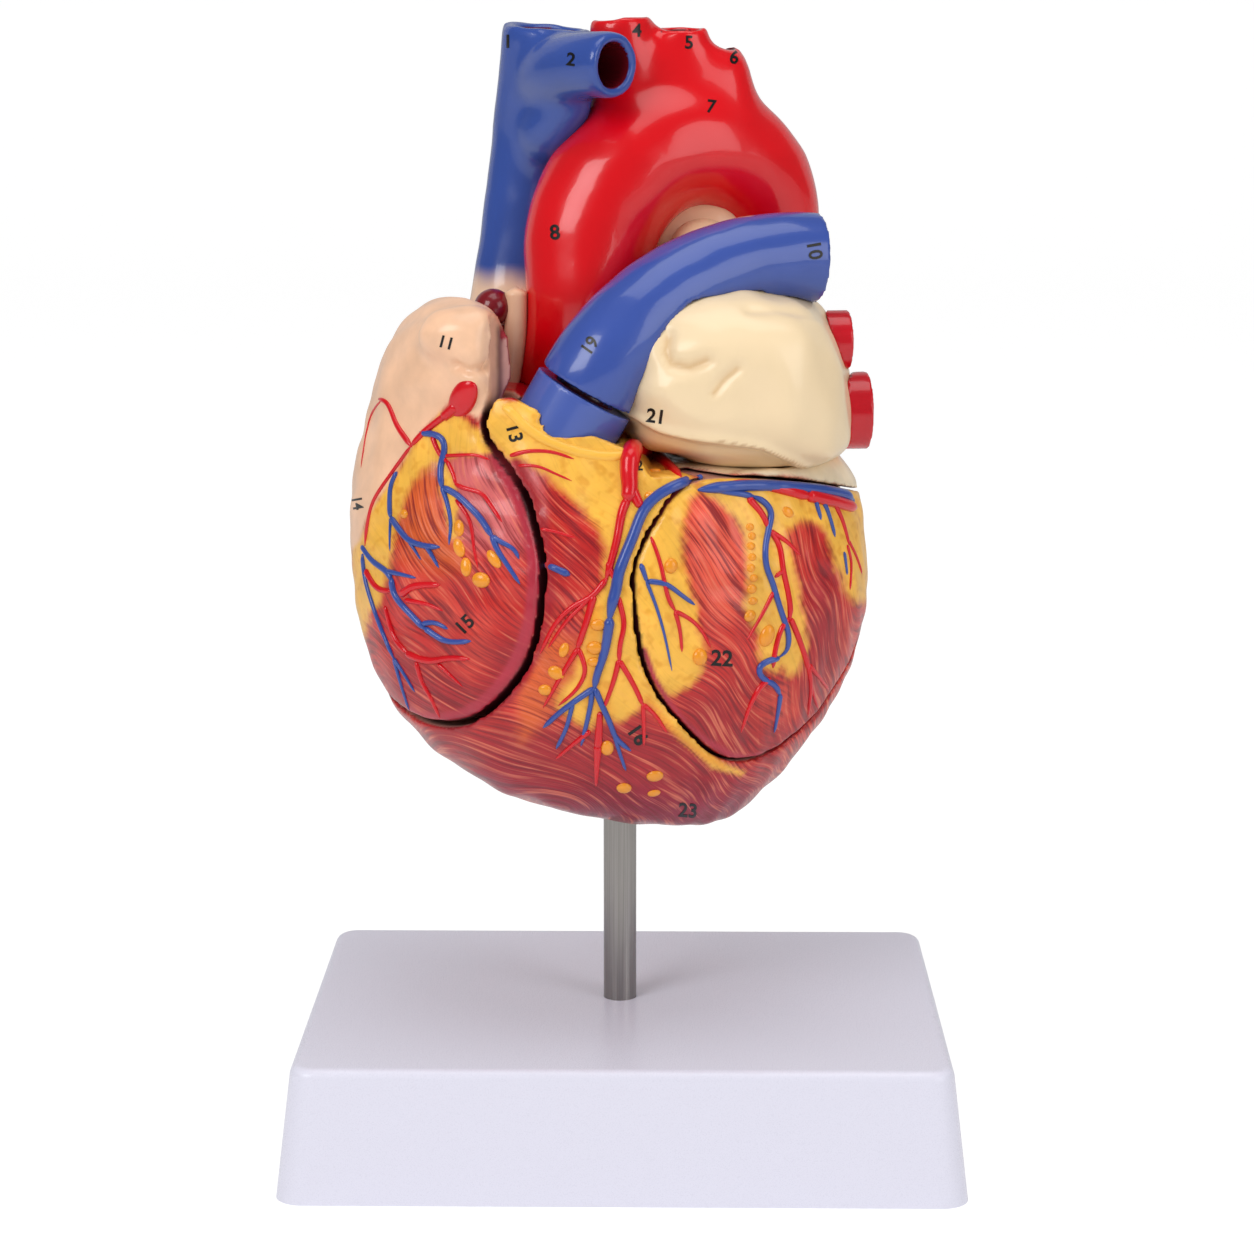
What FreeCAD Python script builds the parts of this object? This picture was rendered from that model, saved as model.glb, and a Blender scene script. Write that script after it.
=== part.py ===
import FreeCAD, Part
import math
import os

from FreeCAD import Matrix, Placement, Rotation, Vector

# Heart anatomy model on a stand, about twice life size, in millimetres.
# +Z is up, +X is to the right of someone facing the front, and the front is -Y.
# The origin is the centre of the base's underside.
# Heights called h are taken from the heart's lowest point.

# Base and rod
baseLength = 200.0
baseWidth = 150.0
baseHeight = 39.0
baseDraft = 4.6
baseCornerRadius = 8.0
baseTopCornerRadius = 7.0
baseEdgeRadius = 3.0
baseWall = 3.0
baseTopWall = 4.0
ribThickness = 2.5
ribDepth = 14.0
bossRadius = 14.0
bossDepth = 9.0
rodDiameter = 10.0
rodOffset = -1.5
rodStandHeight = 58.0
rodSeatDepth = 5.0
rodChamfer = 1.0
threadDiameter = 8.0
threadLength = 20.0
threadClearance = 0.2
washerDiameter = 22.0
washerThickness = 2.0
nutAcrossFlats = 13.0
nutHeight = 6.5
nutChamferAngle = 30.0

# Liner that the heart turns and lifts on
rodEngagement = 36.0
linerInset = 7.0
rodFit = 0.05
linerWall = 2.5
linerCap = 3.0
linerFit = 0.05

# Gaps between castings
glueLine = 0.15
partGap = 0.35
rightSeamGap = 1.6
leftSeamGap = 0.7
stumpGap = 1.8

# Heart body: h, left, right, front and back of its level sections
heartSections = [
    (1.5, 4, 30, -20, 6),
    (6, -21, 37, -33, 17),
    (13, -41, 44, -43, 27),
    (26, -60, 55, -52, 38),
    (43, -73, 65, -57, 46),
    (65, -80, 72, -58, 52),
    (87, -82, 71.5, -56, 54),
    (107, -80.5, 66, -51, 53),
    (123, -76.5, 44, -46, 48),
    (137, -72.5, 8, -41, 40),
    (149, -66, -16, -35, 31),
    (157, -56.5, -32, -25, 19),
]
heartTopHeight = 159.5
heartWall = 7.0

# Auricle lobes at the front of the right atrium: centre and half-axes
auricleLobes = [
    ((-45, -33, 149), (14, 11, 9)),
    ((-40, -37, 139), (9.5, 8, 9)),
]

# Parting between the core and the great vessels, seen from the front: x and h
floorHeight = 110.5
auricleGap = 5.0
auricleGapBack = -2.0
topParting = [(8, floorHeight), (3, 117), (-31.5, 132), (-31.5, 149)]

# Right heart cover: its seam as (across the slide, h), from the top round to the lower left
rightSlide = (-0.73, -0.68)
rightSeatDistance = 42.0
rightSeam = [
    (6, 185),
    (4, 146),
    (4.5, 133),
    (2.6, 123),
    (6, 117),
    (13, 109),
    (19, 98.5),
    (23.2, 86),
    (23.8, 76),
    (21.8, 61.5),
    (15, 49.5),
    (3, 40),
    (-12, 37),
    (-40, 43),
    (-95, 75),
]
rightMagnets = [(-60, 72), (-5, 115), (6, 48)]

# Left ventricle cover: its seam as (across the slide, h), from the lower right round to the top right
leftSlide = (0.67, -0.74)
leftSeatDistance = 30.0
leftSeam = [
    (100, 90),
    (30, 42.5),
    (17, 32.5),
    (4, 27.5),
    (-9, 29),
    (-20, 37.5),
    (-31, 52.5),
    (-34.5, 70),
    (-33.5, 87),
    (-28, 97),
    (-17, 108),
    (-3, 109),
    (16, 106.5),
    (40, 101.5),
    (100, 97),
]
leftMagnets = [(-22, 66), (56, 84), (-11, 98)]

# Magnets
magnetDiameter = 6.0
magnetThickness = 3.0
magnetRecess = 0.1
topMagnets = [(53, 14), (24, 31)]

# Chambers: centre and half-axes, with z as h
rightVentricle = ((-46, -14, 71), (33, 34, 25))
leftVentricle = ((33, -6, 68), (27, 28, 32))
rightAtrium = ((-52, 8, 122), (18, 28, 21))
mitralCentre = (30, 8)
mitralRadius = 13.0
tricuspidCentre = (-46, 6)
tricuspidRadius = 10.5
outflowRadius = 9.0
rightOutflow = [(-42, -20, 76), (-32, -28, 98), (-21.5, -31, 114), (-15, -31, 125)]
leftOutflow = [(22, -4, 84), (9, -1, 98), (-3, 3, 107), (-10, 4, 116), (-11, 4, 124)]

# Pulmonary stump and trunk
stumpCentre = (-11, -31, 132)
stumpAxis = (0.5, 0, 0.87)
stumpRadius = 15.0
stumpLength = 14.0
pulmonaryPath = [
    (-11, -31, 132), (-3, -30, 144.5), (9, -23, 156), (24, -14, 164), (41, -7, 168), (56, -2, 168.5),
]
pulmonaryRadii = [14.6, 14.4, 14, 13.8, 13.5, 13]
rightPulmonaryPath = [(20, -16, 162), (26, 0, 167), (14, 33, 165), (-10, 45, 160), (-34, 47, 156)]
rightPulmonaryRadius = 9.0
pulmonaryWall = 4.0

# Aorta
aortaPath = [
    (-11, 4, 112), (-12, 4, 145), (-10.5, 5, 171), (-4, 8, 188), (7, 12, 198), (20, 17.5, 201),
    (33, 24, 195.5), (40, 29, 184), (41, 32, 169), (40, 34, 150), (39, 36, 137),
]
aortaRadii = [17, 19, 19.5, 20, 20, 19.5, 18.5, 17.5, 17, 16, 15.5]
aortaWall = 4.5
# Arch branches: foot, foot radius, top and top radius
archBranches = [
    ((1, 12, 200), 11, (-1.5, 12, 238), 9.3),
    ((17, 16, 203), 10, (16.5, 15, 235), 8.2),
    ((31, 22, 198), 12.5, (28, 20, 229.5), 7.2),
]
archBranchWall = 2.8

# Superior vena cava and its branch
cavaPath = [
    (-34, 20, 149), (-32.5, 25, 165), (-29.5, 27, 188), (-27, 26, 208), (-24.5, 22, 223), (-23, 20, 235.5),
]
cavaRadii = [13.5, 12.5, 12.5, 12.7, 13.2, 14]
cavaWall = 4.5
cavaBranchPath = [(-25, 21, 218), (-20, 8, 222), (-10, -6, 224), (-2, -14, 224)]
cavaBranchRadius = 10.0
cavaBranchWall = 3.6

# Inferior vena cava
lowerCavaPath = [(-52, 26, 116), (-50, 44, 100), (-48, 58, 78)]
lowerCavaRadius = 12.0
lowerCavaWall = 3.5

# Left atrium: h, left, right, front and back of its level sections
leftAtriumSections = [
    (110.5, 18, 62, -33, 43),
    (114, 8, 66, -37.5, 48),
    (119, -1, 67.5, -42, 50),
    (127, -4.5, 67, -44.5, 51),
    (135, -4, 65.5, -45, 50),
    (144, -1.5, 62.5, -44, 46),
    (152, 3, 58.5, -40, 38),
    (157.5, 9, 51, -34, 26),
    (160, 18, 41, -25, 10),
]
leftAtriumTop = 160.8
leftAtriumWall = 6.0
leftAtriumFloor = 5.0
atriumSquareness = 0.62
# Pulmonary veins: root, end and radius
leftVeins = [((46, 2, 143.5), (66, 5, 143.5), 9.0), ((50, 4, 122.5), (72, 7, 122.5), 11.5)]
rightVeins = [((12, 32, 141), (-4, 52, 142), 8.0), ((20, 36, 127), (6, 55, 127), 8.0)]
veinWall = 3.0

# Valves: ring height, funnel height, funnel mouth radius and leaflets
tricuspidRing = 98.0
mitralRing = 105.0
ringHeight = 4.0
funnelHeight = 16.0
funnelMouth = 4.5
tricuspidLeaflets = 3
mitralLeaflets = 2
leafletLength = 13.0
leafletThickness = 1.2
leafletSlot = 2.0
aorticValveHeight = 117.0
pulmonaryValveDepth = 7.0
cuspCount = 3
cuspRadius = 5.3
cuspSetback = 4.5
cuspThickness = 1.0
cuspSlot = 0.6
valveFit = 0.2

# Papillary muscles: foot (x, y) and tip h
rightPapillaries = [(-36, -10, 66), (-44, 4, 65), (-30, -20, 67)]
leftPapillaries = [(25, 3, 66), (39, 9, 67)]
papillaryFootRadius = 6.0
papillaryTipRadius = 2.4
chordaRadius = 0.6
chordaeOfMuscle = 3
chordaSpread = 35.0
chordaFootRadius = 1.3

heartBottom = baseHeight + rodStandHeight
rodRadius = rodDiameter / 2
linerRadius = rodRadius + rodFit + linerWall
linerLength = rodEngagement - linerInset + linerCap
# Construction only: blocks that reach past the whole heart, bores that run past their ends,
# points of a level section and the smallest length that counts
reach = 300.0
coverReach = 140.0
boreOverrun = 3.0
sectionPoints = 12
tolerance = 1e-6


def at(point):
    return Vector(point[0], point[1], heartBottom + point[2])


def levelSection(left, right, front, back, z, squareness=1.0):
    # closed smooth curve through points of a superellipse
    midX = (left + right) / 2
    midY = (front + back) / 2
    points = []
    for i in range(sectionPoints):
        angle = 2 * math.pi * i / sectionPoints
        c = math.cos(angle)
        s = math.sin(angle)
        x = midX + (right - left) / 2 * math.copysign(abs(c) ** squareness, c)
        y = midY + (back - front) / 2 * math.copysign(abs(s) ** squareness, s)
        points.append(Vector(x, y, z))
    curve = Part.BSplineCurve()
    curve.interpolate(points, PeriodicFlag=True)
    return Part.Wire(curve.toShape())


def levelLoft(sections, bottom, top, grow=0.0, squareness=1.0):
    # smooth body through level sections, closed by a rounded tip where bottom or top is given
    wires = []
    for h, left, right, front, back in sections:
        wires.append(levelSection(left - grow, right + grow, front - grow, back + grow,
                                  heartBottom + h, squareness))
    profile = list(wires)
    if bottom is not None:
        first = sections[0]
        profile.insert(0, Part.Vertex(at(((first[1] + first[2]) / 2, (first[3] + first[4]) / 2, bottom))))
    if top is not None:
        last = sections[-1]
        profile.append(Part.Vertex(at(((last[1] + last[2]) / 2, (last[3] + last[4]) / 2, top))))
    return Part.makeLoft(profile, True, False)


def ellipsoid(centre, axes):
    ball = Part.makeSphere(1.0)
    stretch = Matrix()
    stretch.scale(axes[0], axes[1], axes[2])
    ball = ball.transformGeometry(stretch)
    ball.translate(at(centre))
    return ball


def tube(path, radii, grow=0.0):
    # loft of circles square to a smooth line through the path's points
    points = [at(point) for point in path]
    line = Part.BSplineCurve()
    line.interpolate(points)
    if isinstance(radii, (int, float)):
        radii = [radii] * len(path)
    side = None
    wires = []
    for point, radius in zip(points, radii):
        tangent = Vector(*line.tangent(line.parameter(point))[0])
        tangent.normalize()
        if side is None:
            side = Vector(0, 1, 0) if abs(tangent.y) < abs(tangent.z) else Vector(1, 0, 0)
        side = side - tangent * side.dot(tangent)
        side.normalize()
        ring = Part.Circle()
        ring.Radius = radius + grow
        edge = ring.toShape()
        edge.Placement = Placement(point, Rotation(side, tangent.cross(side), tangent, 'ZXY'))
        wires.append(Part.Wire(edge))
    return Part.makeLoft(wires, True, False)


def taper(start, end, radius, endRadius=None):
    direction = end - start
    if endRadius is None:
        return Part.makeCylinder(radius, direction.Length, start, direction)
    return Part.makeCone(radius, endRadius, direction.Length, start, direction)


def halfSpace(point, normal):
    # a large block on the side that the normal points to
    block = Part.makeBox(2 * reach, 2 * reach, reach, Vector(-reach, -reach, 0))
    block.Placement = Placement(point, Rotation(Vector(0, 0, 1), normal))
    return block


def slideFrame(slide):
    outward = Vector(slide[0], slide[1], 0)
    outward.normalize()
    across = Vector(-outward.y, outward.x, 0)
    return outward, across


def coverPrism(seam, slide, seat, side, grow):
    # everything that a cover may fill: its seam carried along its slide, beyond its seat plane
    outward, across = slideFrame(slide)
    points = []
    for i, (u, h) in enumerate(seam):
        before = seam[max(i - 1, 0)]
        after = seam[min(i + 1, len(seam) - 1)]
        du = after[0] - before[0]
        dh = after[1] - before[1]
        length = math.hypot(du, dh)
        u = u - grow * dh / length
        h = h + grow * du / length
        points.append(outward * seat + across * u + Vector(0, 0, heartBottom + h))
    curve = Part.BSplineCurve()
    curve.interpolate(points)
    beyond = outward * seat + across * side * coverReach
    corners = [points[-1], beyond + Vector(0, 0, points[-1].z), beyond + Vector(0, 0, points[0].z), points[0]]
    edges = [curve.toShape()]
    for start, end in zip(corners, corners[1:]):
        edges.append(Part.makeLine(start, end))
    face = Part.Face(Part.Wire(edges))
    return face.extrude(outward * coverReach)


def aboveParting(lift):
    # everything above the stepped parting between the core and the great vessels
    profile = [(reach, floorHeight), topParting[0]]
    profile += [(x + lift, h + lift) for x, h in topParting[1:]]
    profile += [(-reach, topParting[-1][1] + lift), (-reach, reach), (reach, reach)]
    points = [Vector(x, -reach, heartBottom + h) for x, h in profile]
    face = Part.Face(Part.makePolygon(points + [points[0]]))
    return face.extrude(Vector(0, 2 * reach, 0))


def heartBody(grow=0.0):
    body = levelLoft(heartSections, -grow, heartTopHeight + grow, grow)
    for centre, axes in auricleLobes:
        body = body.fuse(ellipsoid(centre, [axis + grow for axis in axes]))
    return body


def join(shapes):
    body = shapes[0]
    for shape in shapes[1:]:
        body = body.fuse(shape)
    return body


def largest(shape):
    # booleans can leave a crumb beside the real piece
    return max(shape.Solids, key=lambda solid: solid.Volume)


def together(shapes):
    return Part.makeCompound([largest(shape) for shape in shapes])


def roundedPlate(length, width, radius, z):
    x = length / 2
    y = width / 2
    plate = Part.makeBox(length, width, 1.0, Vector(-x, -y, z))
    corners = [e for e in plate.Edges if abs(e.Vertexes[0].Z - e.Vertexes[1].Z) > tolerance]
    plate = plate.makeFillet(radius, corners)
    return min(plate.Faces, key=lambda face: face.CenterOfMass.z).OuterWire


def edgesAt(shape, z):
    # the edges that lie level at height z
    found = []
    for edge in shape.Edges:
        box = edge.BoundBox
        if abs(box.ZMin - z) < tolerance and abs(box.ZMax - z) < tolerance:
            found.append(edge)
    return found


def makeBase():
    top = baseHeight
    outer = Part.makeLoft([
        roundedPlate(baseLength, baseWidth, baseCornerRadius, 0),
        roundedPlate(baseLength - 2 * baseDraft, baseWidth - 2 * baseDraft, baseTopCornerRadius, top),
    ], True, True)
    outer = outer.makeFillet(baseEdgeRadius, edgesAt(outer, top))
    # the hollow keeps the draft of the outside
    ceiling = top - baseTopWall
    slope = baseDraft * ceiling / top
    hollow = Part.makeLoft([
        roundedPlate(baseLength - 2 * baseWall, baseWidth - 2 * baseWall, baseCornerRadius - baseWall, 0),
        roundedPlate(baseLength - 2 * (baseWall + slope), baseWidth - 2 * (baseWall + slope),
                     baseTopCornerRadius - baseWall, ceiling),
    ], True, True)
    ribBottom = ceiling - ribDepth
    longCorner = Vector(-baseLength / 2, -ribThickness / 2, ribBottom)
    crossCorner = Vector(rodOffset - ribThickness / 2, -baseWidth / 2, ribBottom)
    ribs = [
        Part.makeBox(baseLength, ribThickness, ribDepth, longCorner),
        Part.makeBox(ribThickness, baseWidth, ribDepth, crossCorner),
        Part.makeCylinder(bossRadius, bossDepth, Vector(rodOffset, 0, ceiling - bossDepth)),
    ]
    # the ribs are relieved under the boss for the washer and nut
    relief = Part.makeCylinder(bossRadius, ribDepth, Vector(rodOffset, 0, ceiling - bossDepth - ribDepth))
    hollow = hollow.cut(join(ribs).cut(relief))
    body = outer.cut(hollow)
    body = body.cut(Part.makeCylinder(rodRadius + rodFit, reach, Vector(rodOffset, 0, top - rodSeatDepth)))
    body = body.cut(Part.makeCylinder(threadDiameter / 2 + threadClearance, reach, Vector(rodOffset, 0, 0)))
    return largest(body)


def bossBottom():
    return baseHeight - baseTopWall - bossDepth


def makeSupportRod():
    seat = baseHeight - rodSeatDepth
    top = heartBottom + rodEngagement
    shank = Part.makeCylinder(rodRadius, top - seat, Vector(rodOffset, 0, seat))
    shank = shank.makeChamfer(rodChamfer, edgesAt(shank, top))
    thread = Part.makeCylinder(threadDiameter / 2, threadLength, Vector(rodOffset, 0, seat - threadLength))
    return shank.fuse(thread).removeSplitter()


def makeWasher():
    z = bossBottom() - washerThickness
    disc = Part.makeCylinder(washerDiameter / 2, washerThickness, Vector(rodOffset, 0, z))
    return disc.cut(Part.makeCylinder(threadDiameter / 2 + threadClearance, reach, Vector(rodOffset, 0, 0)))


def makeNut():
    z = bossBottom() - washerThickness - nutHeight
    corner = nutAcrossFlats / math.sqrt(3)
    points = []
    for i in range(7):
        angle = math.radians(60 * i)
        points.append(Vector(rodOffset + corner * math.cos(angle), corner * math.sin(angle), z))
    body = Part.Face(Part.makePolygon(points)).extrude(Vector(0, 0, nutHeight))
    # the corners are turned off at both faces
    narrow = nutAcrossFlats / 2
    wide = narrow + nutHeight / math.tan(math.radians(nutChamferAngle))
    body = body.common(Part.makeCone(narrow, wide, nutHeight, Vector(rodOffset, 0, z)))
    body = body.common(Part.makeCone(wide, narrow, nutHeight, Vector(rodOffset, 0, z)))
    return body.cut(Part.makeCylinder(threadDiameter / 2 + rodFit, reach, Vector(rodOffset, 0, 0)))


def makeLiner():
    bottom = Vector(rodOffset, 0, heartBottom + linerInset)
    body = Part.makeCylinder(linerRadius, linerLength, bottom)
    return body.cut(Part.makeCylinder(rodRadius + rodFit, linerLength - linerCap, bottom))


def linerBore():
    # the bore comes up through the skin and ends against the liner's cap
    depth = linerInset + linerLength + reach
    return Part.makeCylinder(linerRadius + linerFit, depth, Vector(rodOffset, 0, heartBottom - reach))


def chamber(values):
    return ellipsoid(values[0], values[1])


def heartHollow():
    bottom = heartSections[0][0] + heartWall
    return levelLoft(heartSections[1:-1], bottom, heartTopHeight - heartWall, -heartWall)


def chambersOfRightHeart():
    inside = heartHollow()
    return chamber(rightVentricle).common(inside), chamber(rightAtrium).common(inside)


def upright(centre, radius, low, high):
    return Part.makeCylinder(radius, high - low, at((centre[0], centre[1], low)))


def magnetAt(slide, seat, place, inward):
    # a disc whose face lies just under the seat plane, on the core's or the cover's side
    outward, across = slideFrame(slide)
    direction = outward * (-1 if inward else 1)
    point = outward * seat + across * place[0] + Vector(0, 0, heartBottom + place[1])
    return point, direction


def magnetDisc(point, direction):
    return Part.makeCylinder(magnetDiameter / 2, magnetThickness, point + direction * magnetRecess, direction)


def magnetPocket(point, direction):
    radius = magnetDiameter / 2 + glueLine
    return Part.makeCylinder(radius, magnetThickness + magnetRecess, point, direction)


def rightMagnetPlaces(inward):
    return [magnetAt(rightSlide, rightSeatDistance, place, inward) for place in rightMagnets]


def leftMagnetPlaces(inward):
    return [magnetAt(leftSlide, leftSeatDistance, place, inward) for place in leftMagnets]


def topMagnetPlaces(direction):
    return [(at((x, y, floorHeight)), Vector(0, 0, direction)) for x, y in topMagnets]


def coreMagnetPlaces():
    return rightMagnetPlaces(True) + leftMagnetPlaces(True) + topMagnetPlaces(-1)


def makeMagnets(places):
    return Part.makeCompound([magnetDisc(point, direction) for point, direction in places])


def withPockets(body, places):
    for point, direction in places:
        body = body.cut(magnetPocket(point, direction))
    return body


def stumpEnds():
    axis = Vector(*stumpAxis)
    axis.normalize()
    return at(stumpCentre), axis


def makeStump(radius, length, grow=0.0):
    top, axis = stumpEnds()
    return Part.makeCylinder(radius + grow, length, top - axis * length, axis)


def rightCoverPrism(grow):
    return coverPrism(rightSeam, rightSlide, rightSeatDistance, -1, grow)


def leftCoverPrism(grow):
    return coverPrism(leftSeam, leftSlide, leftSeatDistance, 1, grow)


def aortaOutside(grow=0.0):
    shapes = [tube(aortaPath, aortaRadii, grow)]
    for foot, footRadius, top, topRadius in archBranches:
        shapes.append(taper(at(foot), at(top), footRadius + grow, topRadius + grow))
    return join(shapes)


def makeAorta():
    body = aortaOutside().cut(tube(extended(aortaPath, boreOverrun), [r - aortaWall for r in aortaRadii]))
    for foot, footRadius, top, topRadius in archBranches:
        start = at(foot)
        end = at(top)
        beyond = end + (end - start).normalize() * boreOverrun
        body = body.cut(taper(start, beyond, topRadius - archBranchWall))
    return largest(body.common(aboveParting(0)))


def extended(path, distance):
    # the same path, with both ends carried further by a distance
    ends = []
    for tip, inner in ((path[0], path[1]), (path[-1], path[-2])):
        way = Vector(*tip) - Vector(*inner)
        way.normalize()
        ends.append(tuple(Vector(*tip) + way * distance))
    return [ends[0]] + list(path[1:-1]) + [ends[1]]


def makeCava():
    outside = tube(cavaPath, cavaRadii).fuse(tube(cavaBranchPath, cavaBranchRadius))
    outside = outside.cut(aortaOutside(glueLine))
    bores = tube(extended(cavaPath, boreOverrun), [r - cavaWall for r in cavaRadii])
    branchBore = tube(extended(cavaBranchPath, boreOverrun), cavaBranchRadius - cavaBranchWall)
    return largest(outside.cut(bores).cut(branchBore).common(aboveParting(0)))


def leftAtriumOutside(grow=0.0):
    return levelLoft(leftAtriumSections, None, leftAtriumTop + grow, grow, atriumSquareness)


def stumpShadow():
    # the stump with running room, carried down so that the atrium can lift past its lean
    stump = makeStump(stumpRadius, stumpLength, partGap)
    lid = max(stump.Faces, key=lambda face: face.CenterOfMass.z)
    return stump.fuse(lid.extrude(Vector(0, 0, -coverReach)))


def makeLeftAtrium():
    outside = leftAtriumOutside().cut(aortaOutside(glueLine))
    outside = outside.cut(stumpShadow()).common(aboveParting(partGap))
    ceiling = leftAtriumTop - leftAtriumWall
    hollow = levelLoft(leftAtriumSections, None, ceiling, -leftAtriumWall, atriumSquareness)
    floor = floorHeight + leftAtriumFloor
    hollow = hollow.common(halfSpace(at((0, 0, floor)), Vector(0, 0, 1)))
    hollow = hollow.cut(aortaOutside(leftAtriumWall))
    body = outside.cut(hollow)
    body = body.cut(upright(mitralCentre, mitralRadius, floorHeight - boreOverrun, floor + boreOverrun))
    for start, end, radius in leftVeins + rightVeins:
        body = body.cut(taper(at(start), at(end), radius - veinWall))
    return largest(withPockets(body, topMagnetPlaces(1)))


def makeVeins(veins):
    pieces = []
    for start, end, radius in veins:
        pipe = taper(at(start), at(end), radius).cut(leftAtriumOutside(glueLine))
        way = (at(end) - at(start)).normalize()
        bore = taper(at(start), at(end) + way * boreOverrun, radius - veinWall)
        pieces.append(pipe.cut(bore))
    return together(pieces)


def makePulmonaryTrunk():
    trunk = tube(pulmonaryPath, pulmonaryRadii)
    branch = tube(rightPulmonaryPath, rightPulmonaryRadius)
    outside = trunk.fuse(branch)
    top, axis = stumpEnds()
    outside = outside.common(halfSpace(top + axis * stumpGap, axis))
    outside = outside.cut(leftAtriumOutside(glueLine)).cut(aortaOutside(glueLine))
    bore = tube(extended(pulmonaryPath, boreOverrun), [r - pulmonaryWall for r in pulmonaryRadii])
    branchBore = tube(extended(rightPulmonaryPath, boreOverrun), rightPulmonaryRadius - pulmonaryWall)
    return largest(outside.cut(bore).cut(branchBore))


def auricleRelief():
    # the space between the auricle's tip and the aorta, in front of the atrium's back wall
    x, h = topParting[-2]
    corner = at((x - auricleGap, auricleGapBack - reach, h))
    return Part.makeBox(reach, reach, reach, corner)


def makeCore():
    body = heartBody()
    body = body.cut(aboveParting(0))
    body = body.cut(auricleRelief())
    body = body.cut(makeStump(stumpRadius, stumpLength, glueLine))
    body = body.cut(rightCoverPrism(rightSeamGap)).cut(leftCoverPrism(leftSeamGap))
    ventricle, atrium = chambersOfRightHeart()
    aorticBottom = aorticValveHeight - outflowRadius / 2
    hollows = [
        ventricle,
        atrium,
        chamber(leftVentricle),
        tube(rightOutflow, outflowRadius),
        tube(leftOutflow, outflowRadius),
        makeStump(outflowRadius, stumpLength + outflowRadius),
        upright(aortaPath[0], outflowRadius, aorticBottom, topParting[-1][1]),
        upright(mitralCentre, mitralRadius, leftVentricle[0][2], floorHeight + boreOverrun),
        upright(tricuspidCentre, tricuspidRadius, rightVentricle[0][2], rightAtrium[0][2]),
        upright(cavaPath[0], cavaRadii[0] - cavaWall, rightAtrium[0][2], cavaPath[0][2] + boreOverrun),
        tube(extended(lowerCavaPath, boreOverrun), lowerCavaRadius - lowerCavaWall),
        linerBore(),
    ]
    for hollow in hollows:
        body = body.cut(hollow)
    return largest(withPockets(body, coreMagnetPlaces()))


def makeStumpCasting():
    return makeStump(stumpRadius, stumpLength).cut(makeStump(outflowRadius, stumpLength))


def makeRightCover():
    body = heartBody().common(rightCoverPrism(0)).cut(makeStump(stumpRadius, stumpLength, rightSeamGap))
    for hollow in chambersOfRightHeart():
        body = body.cut(hollow)
    return largest(withPockets(body, rightMagnetPlaces(False)))


def makeLeftCover():
    body = heartBody().common(leftCoverPrism(0)).cut(chamber(leftVentricle))
    return largest(withPockets(body, leftMagnetPlaces(False)))


def makeLowerCava():
    pipe = tube(lowerCavaPath, lowerCavaRadius).cut(heartBody(glueLine))
    return largest(pipe.cut(tube(extended(lowerCavaPath, boreOverrun), lowerCavaRadius - lowerCavaWall)))


def radialSlots(axisPoint, count, width, length, z, height, turn):
    # thin upright blocks that part a ring into equal sectors, the first one turned from +X
    blocks = []
    for i in range(count):
        block = Part.makeBox(length, width, height, Vector(0, -width / 2, 0))
        block.rotate(Vector(0, 0, 0), Vector(0, 0, 1), 360.0 * i / count + turn)
        block.translate(Vector(axisPoint.x, axisPoint.y, z))
        blocks.append(block)
    return join(blocks)


def flapValve(centre, boreRadius, ring, leaflets):
    # a short collar in the bore that carries a slit funnel hanging into the ventricle
    outer = boreRadius - valveFit
    top = at((centre[0], centre[1], ring))
    down = Vector(0, 0, -1)
    collar = Part.makeCylinder(outer, ringHeight, top)
    funnel = Part.makeCone(outer, funnelMouth, funnelHeight, top, down)
    bore = Part.makeCylinder(outer - leafletThickness, ringHeight, top)
    inner = Part.makeCone(outer - leafletThickness, funnelMouth - leafletThickness, funnelHeight, top, down)
    slots = radialSlots(top, leaflets, leafletSlot, boreRadius, top.z - funnelHeight, leafletLength, 90)
    return largest(collar.fuse(funnel).cut(bore.fuse(inner)).cut(slots))


def pocketValve(boreRadius):
    # pocket cusps in a bore, built about the origin and opening along +Z
    outer = boreRadius - valveFit
    offset = outer - cuspSetback
    sector = 360.0 / cuspCount
    origin = Vector(0, 0, 0)
    slots = radialSlots(origin, cuspCount, cuspSlot, 2 * outer, -cuspRadius, 2 * cuspRadius, sector / 2)
    below = Part.makeCylinder(outer, cuspRadius, Vector(0, 0, -cuspRadius)).cut(slots)
    cusps = []
    for i in range(cuspCount):
        angle = math.radians(sector * i)
        centre = Vector(offset * math.cos(angle), offset * math.sin(angle), 0)
        shell = Part.makeSphere(cuspRadius, centre).cut(Part.makeSphere(cuspRadius - cuspThickness, centre))
        wedge = min(below.Solids, key=lambda solid: solid.CenterOfMass.distanceToPoint(centre))
        cusps.append(shell.common(wedge))
    return cusps


def placedValve(boreRadius, point, axis):
    pieces = []
    for cusp in pocketValve(boreRadius):
        piece = largest(cusp)
        piece.Placement = Placement(point, Rotation(Vector(0, 0, 1), axis))
        pieces.append(piece)
    return Part.makeCompound(pieces)


def makeAorticValve():
    x, y, _ = aortaPath[0]
    return placedValve(outflowRadius, at((x, y, aorticValveHeight)), Vector(0, 0, 1))


def makePulmonaryValve():
    top, axis = stumpEnds()
    return placedValve(outflowRadius, top - axis * pulmonaryValveDepth, axis)


def makePapillaries(muscles, ventricle):
    inside = ellipsoid(ventricle[0], [axis - glueLine for axis in ventricle[1]])
    pieces = []
    for x, y, tip in muscles:
        foot = at((x, y, ventricle[0][2] - ventricle[1][2]))
        end = at((x, y, tip))
        muscle = taper(foot, end, papillaryFootRadius, papillaryTipRadius)
        muscle = muscle.fuse(Part.makeSphere(papillaryTipRadius, end))
        pieces.append(muscle.common(inside))
    return together(pieces)


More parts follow.
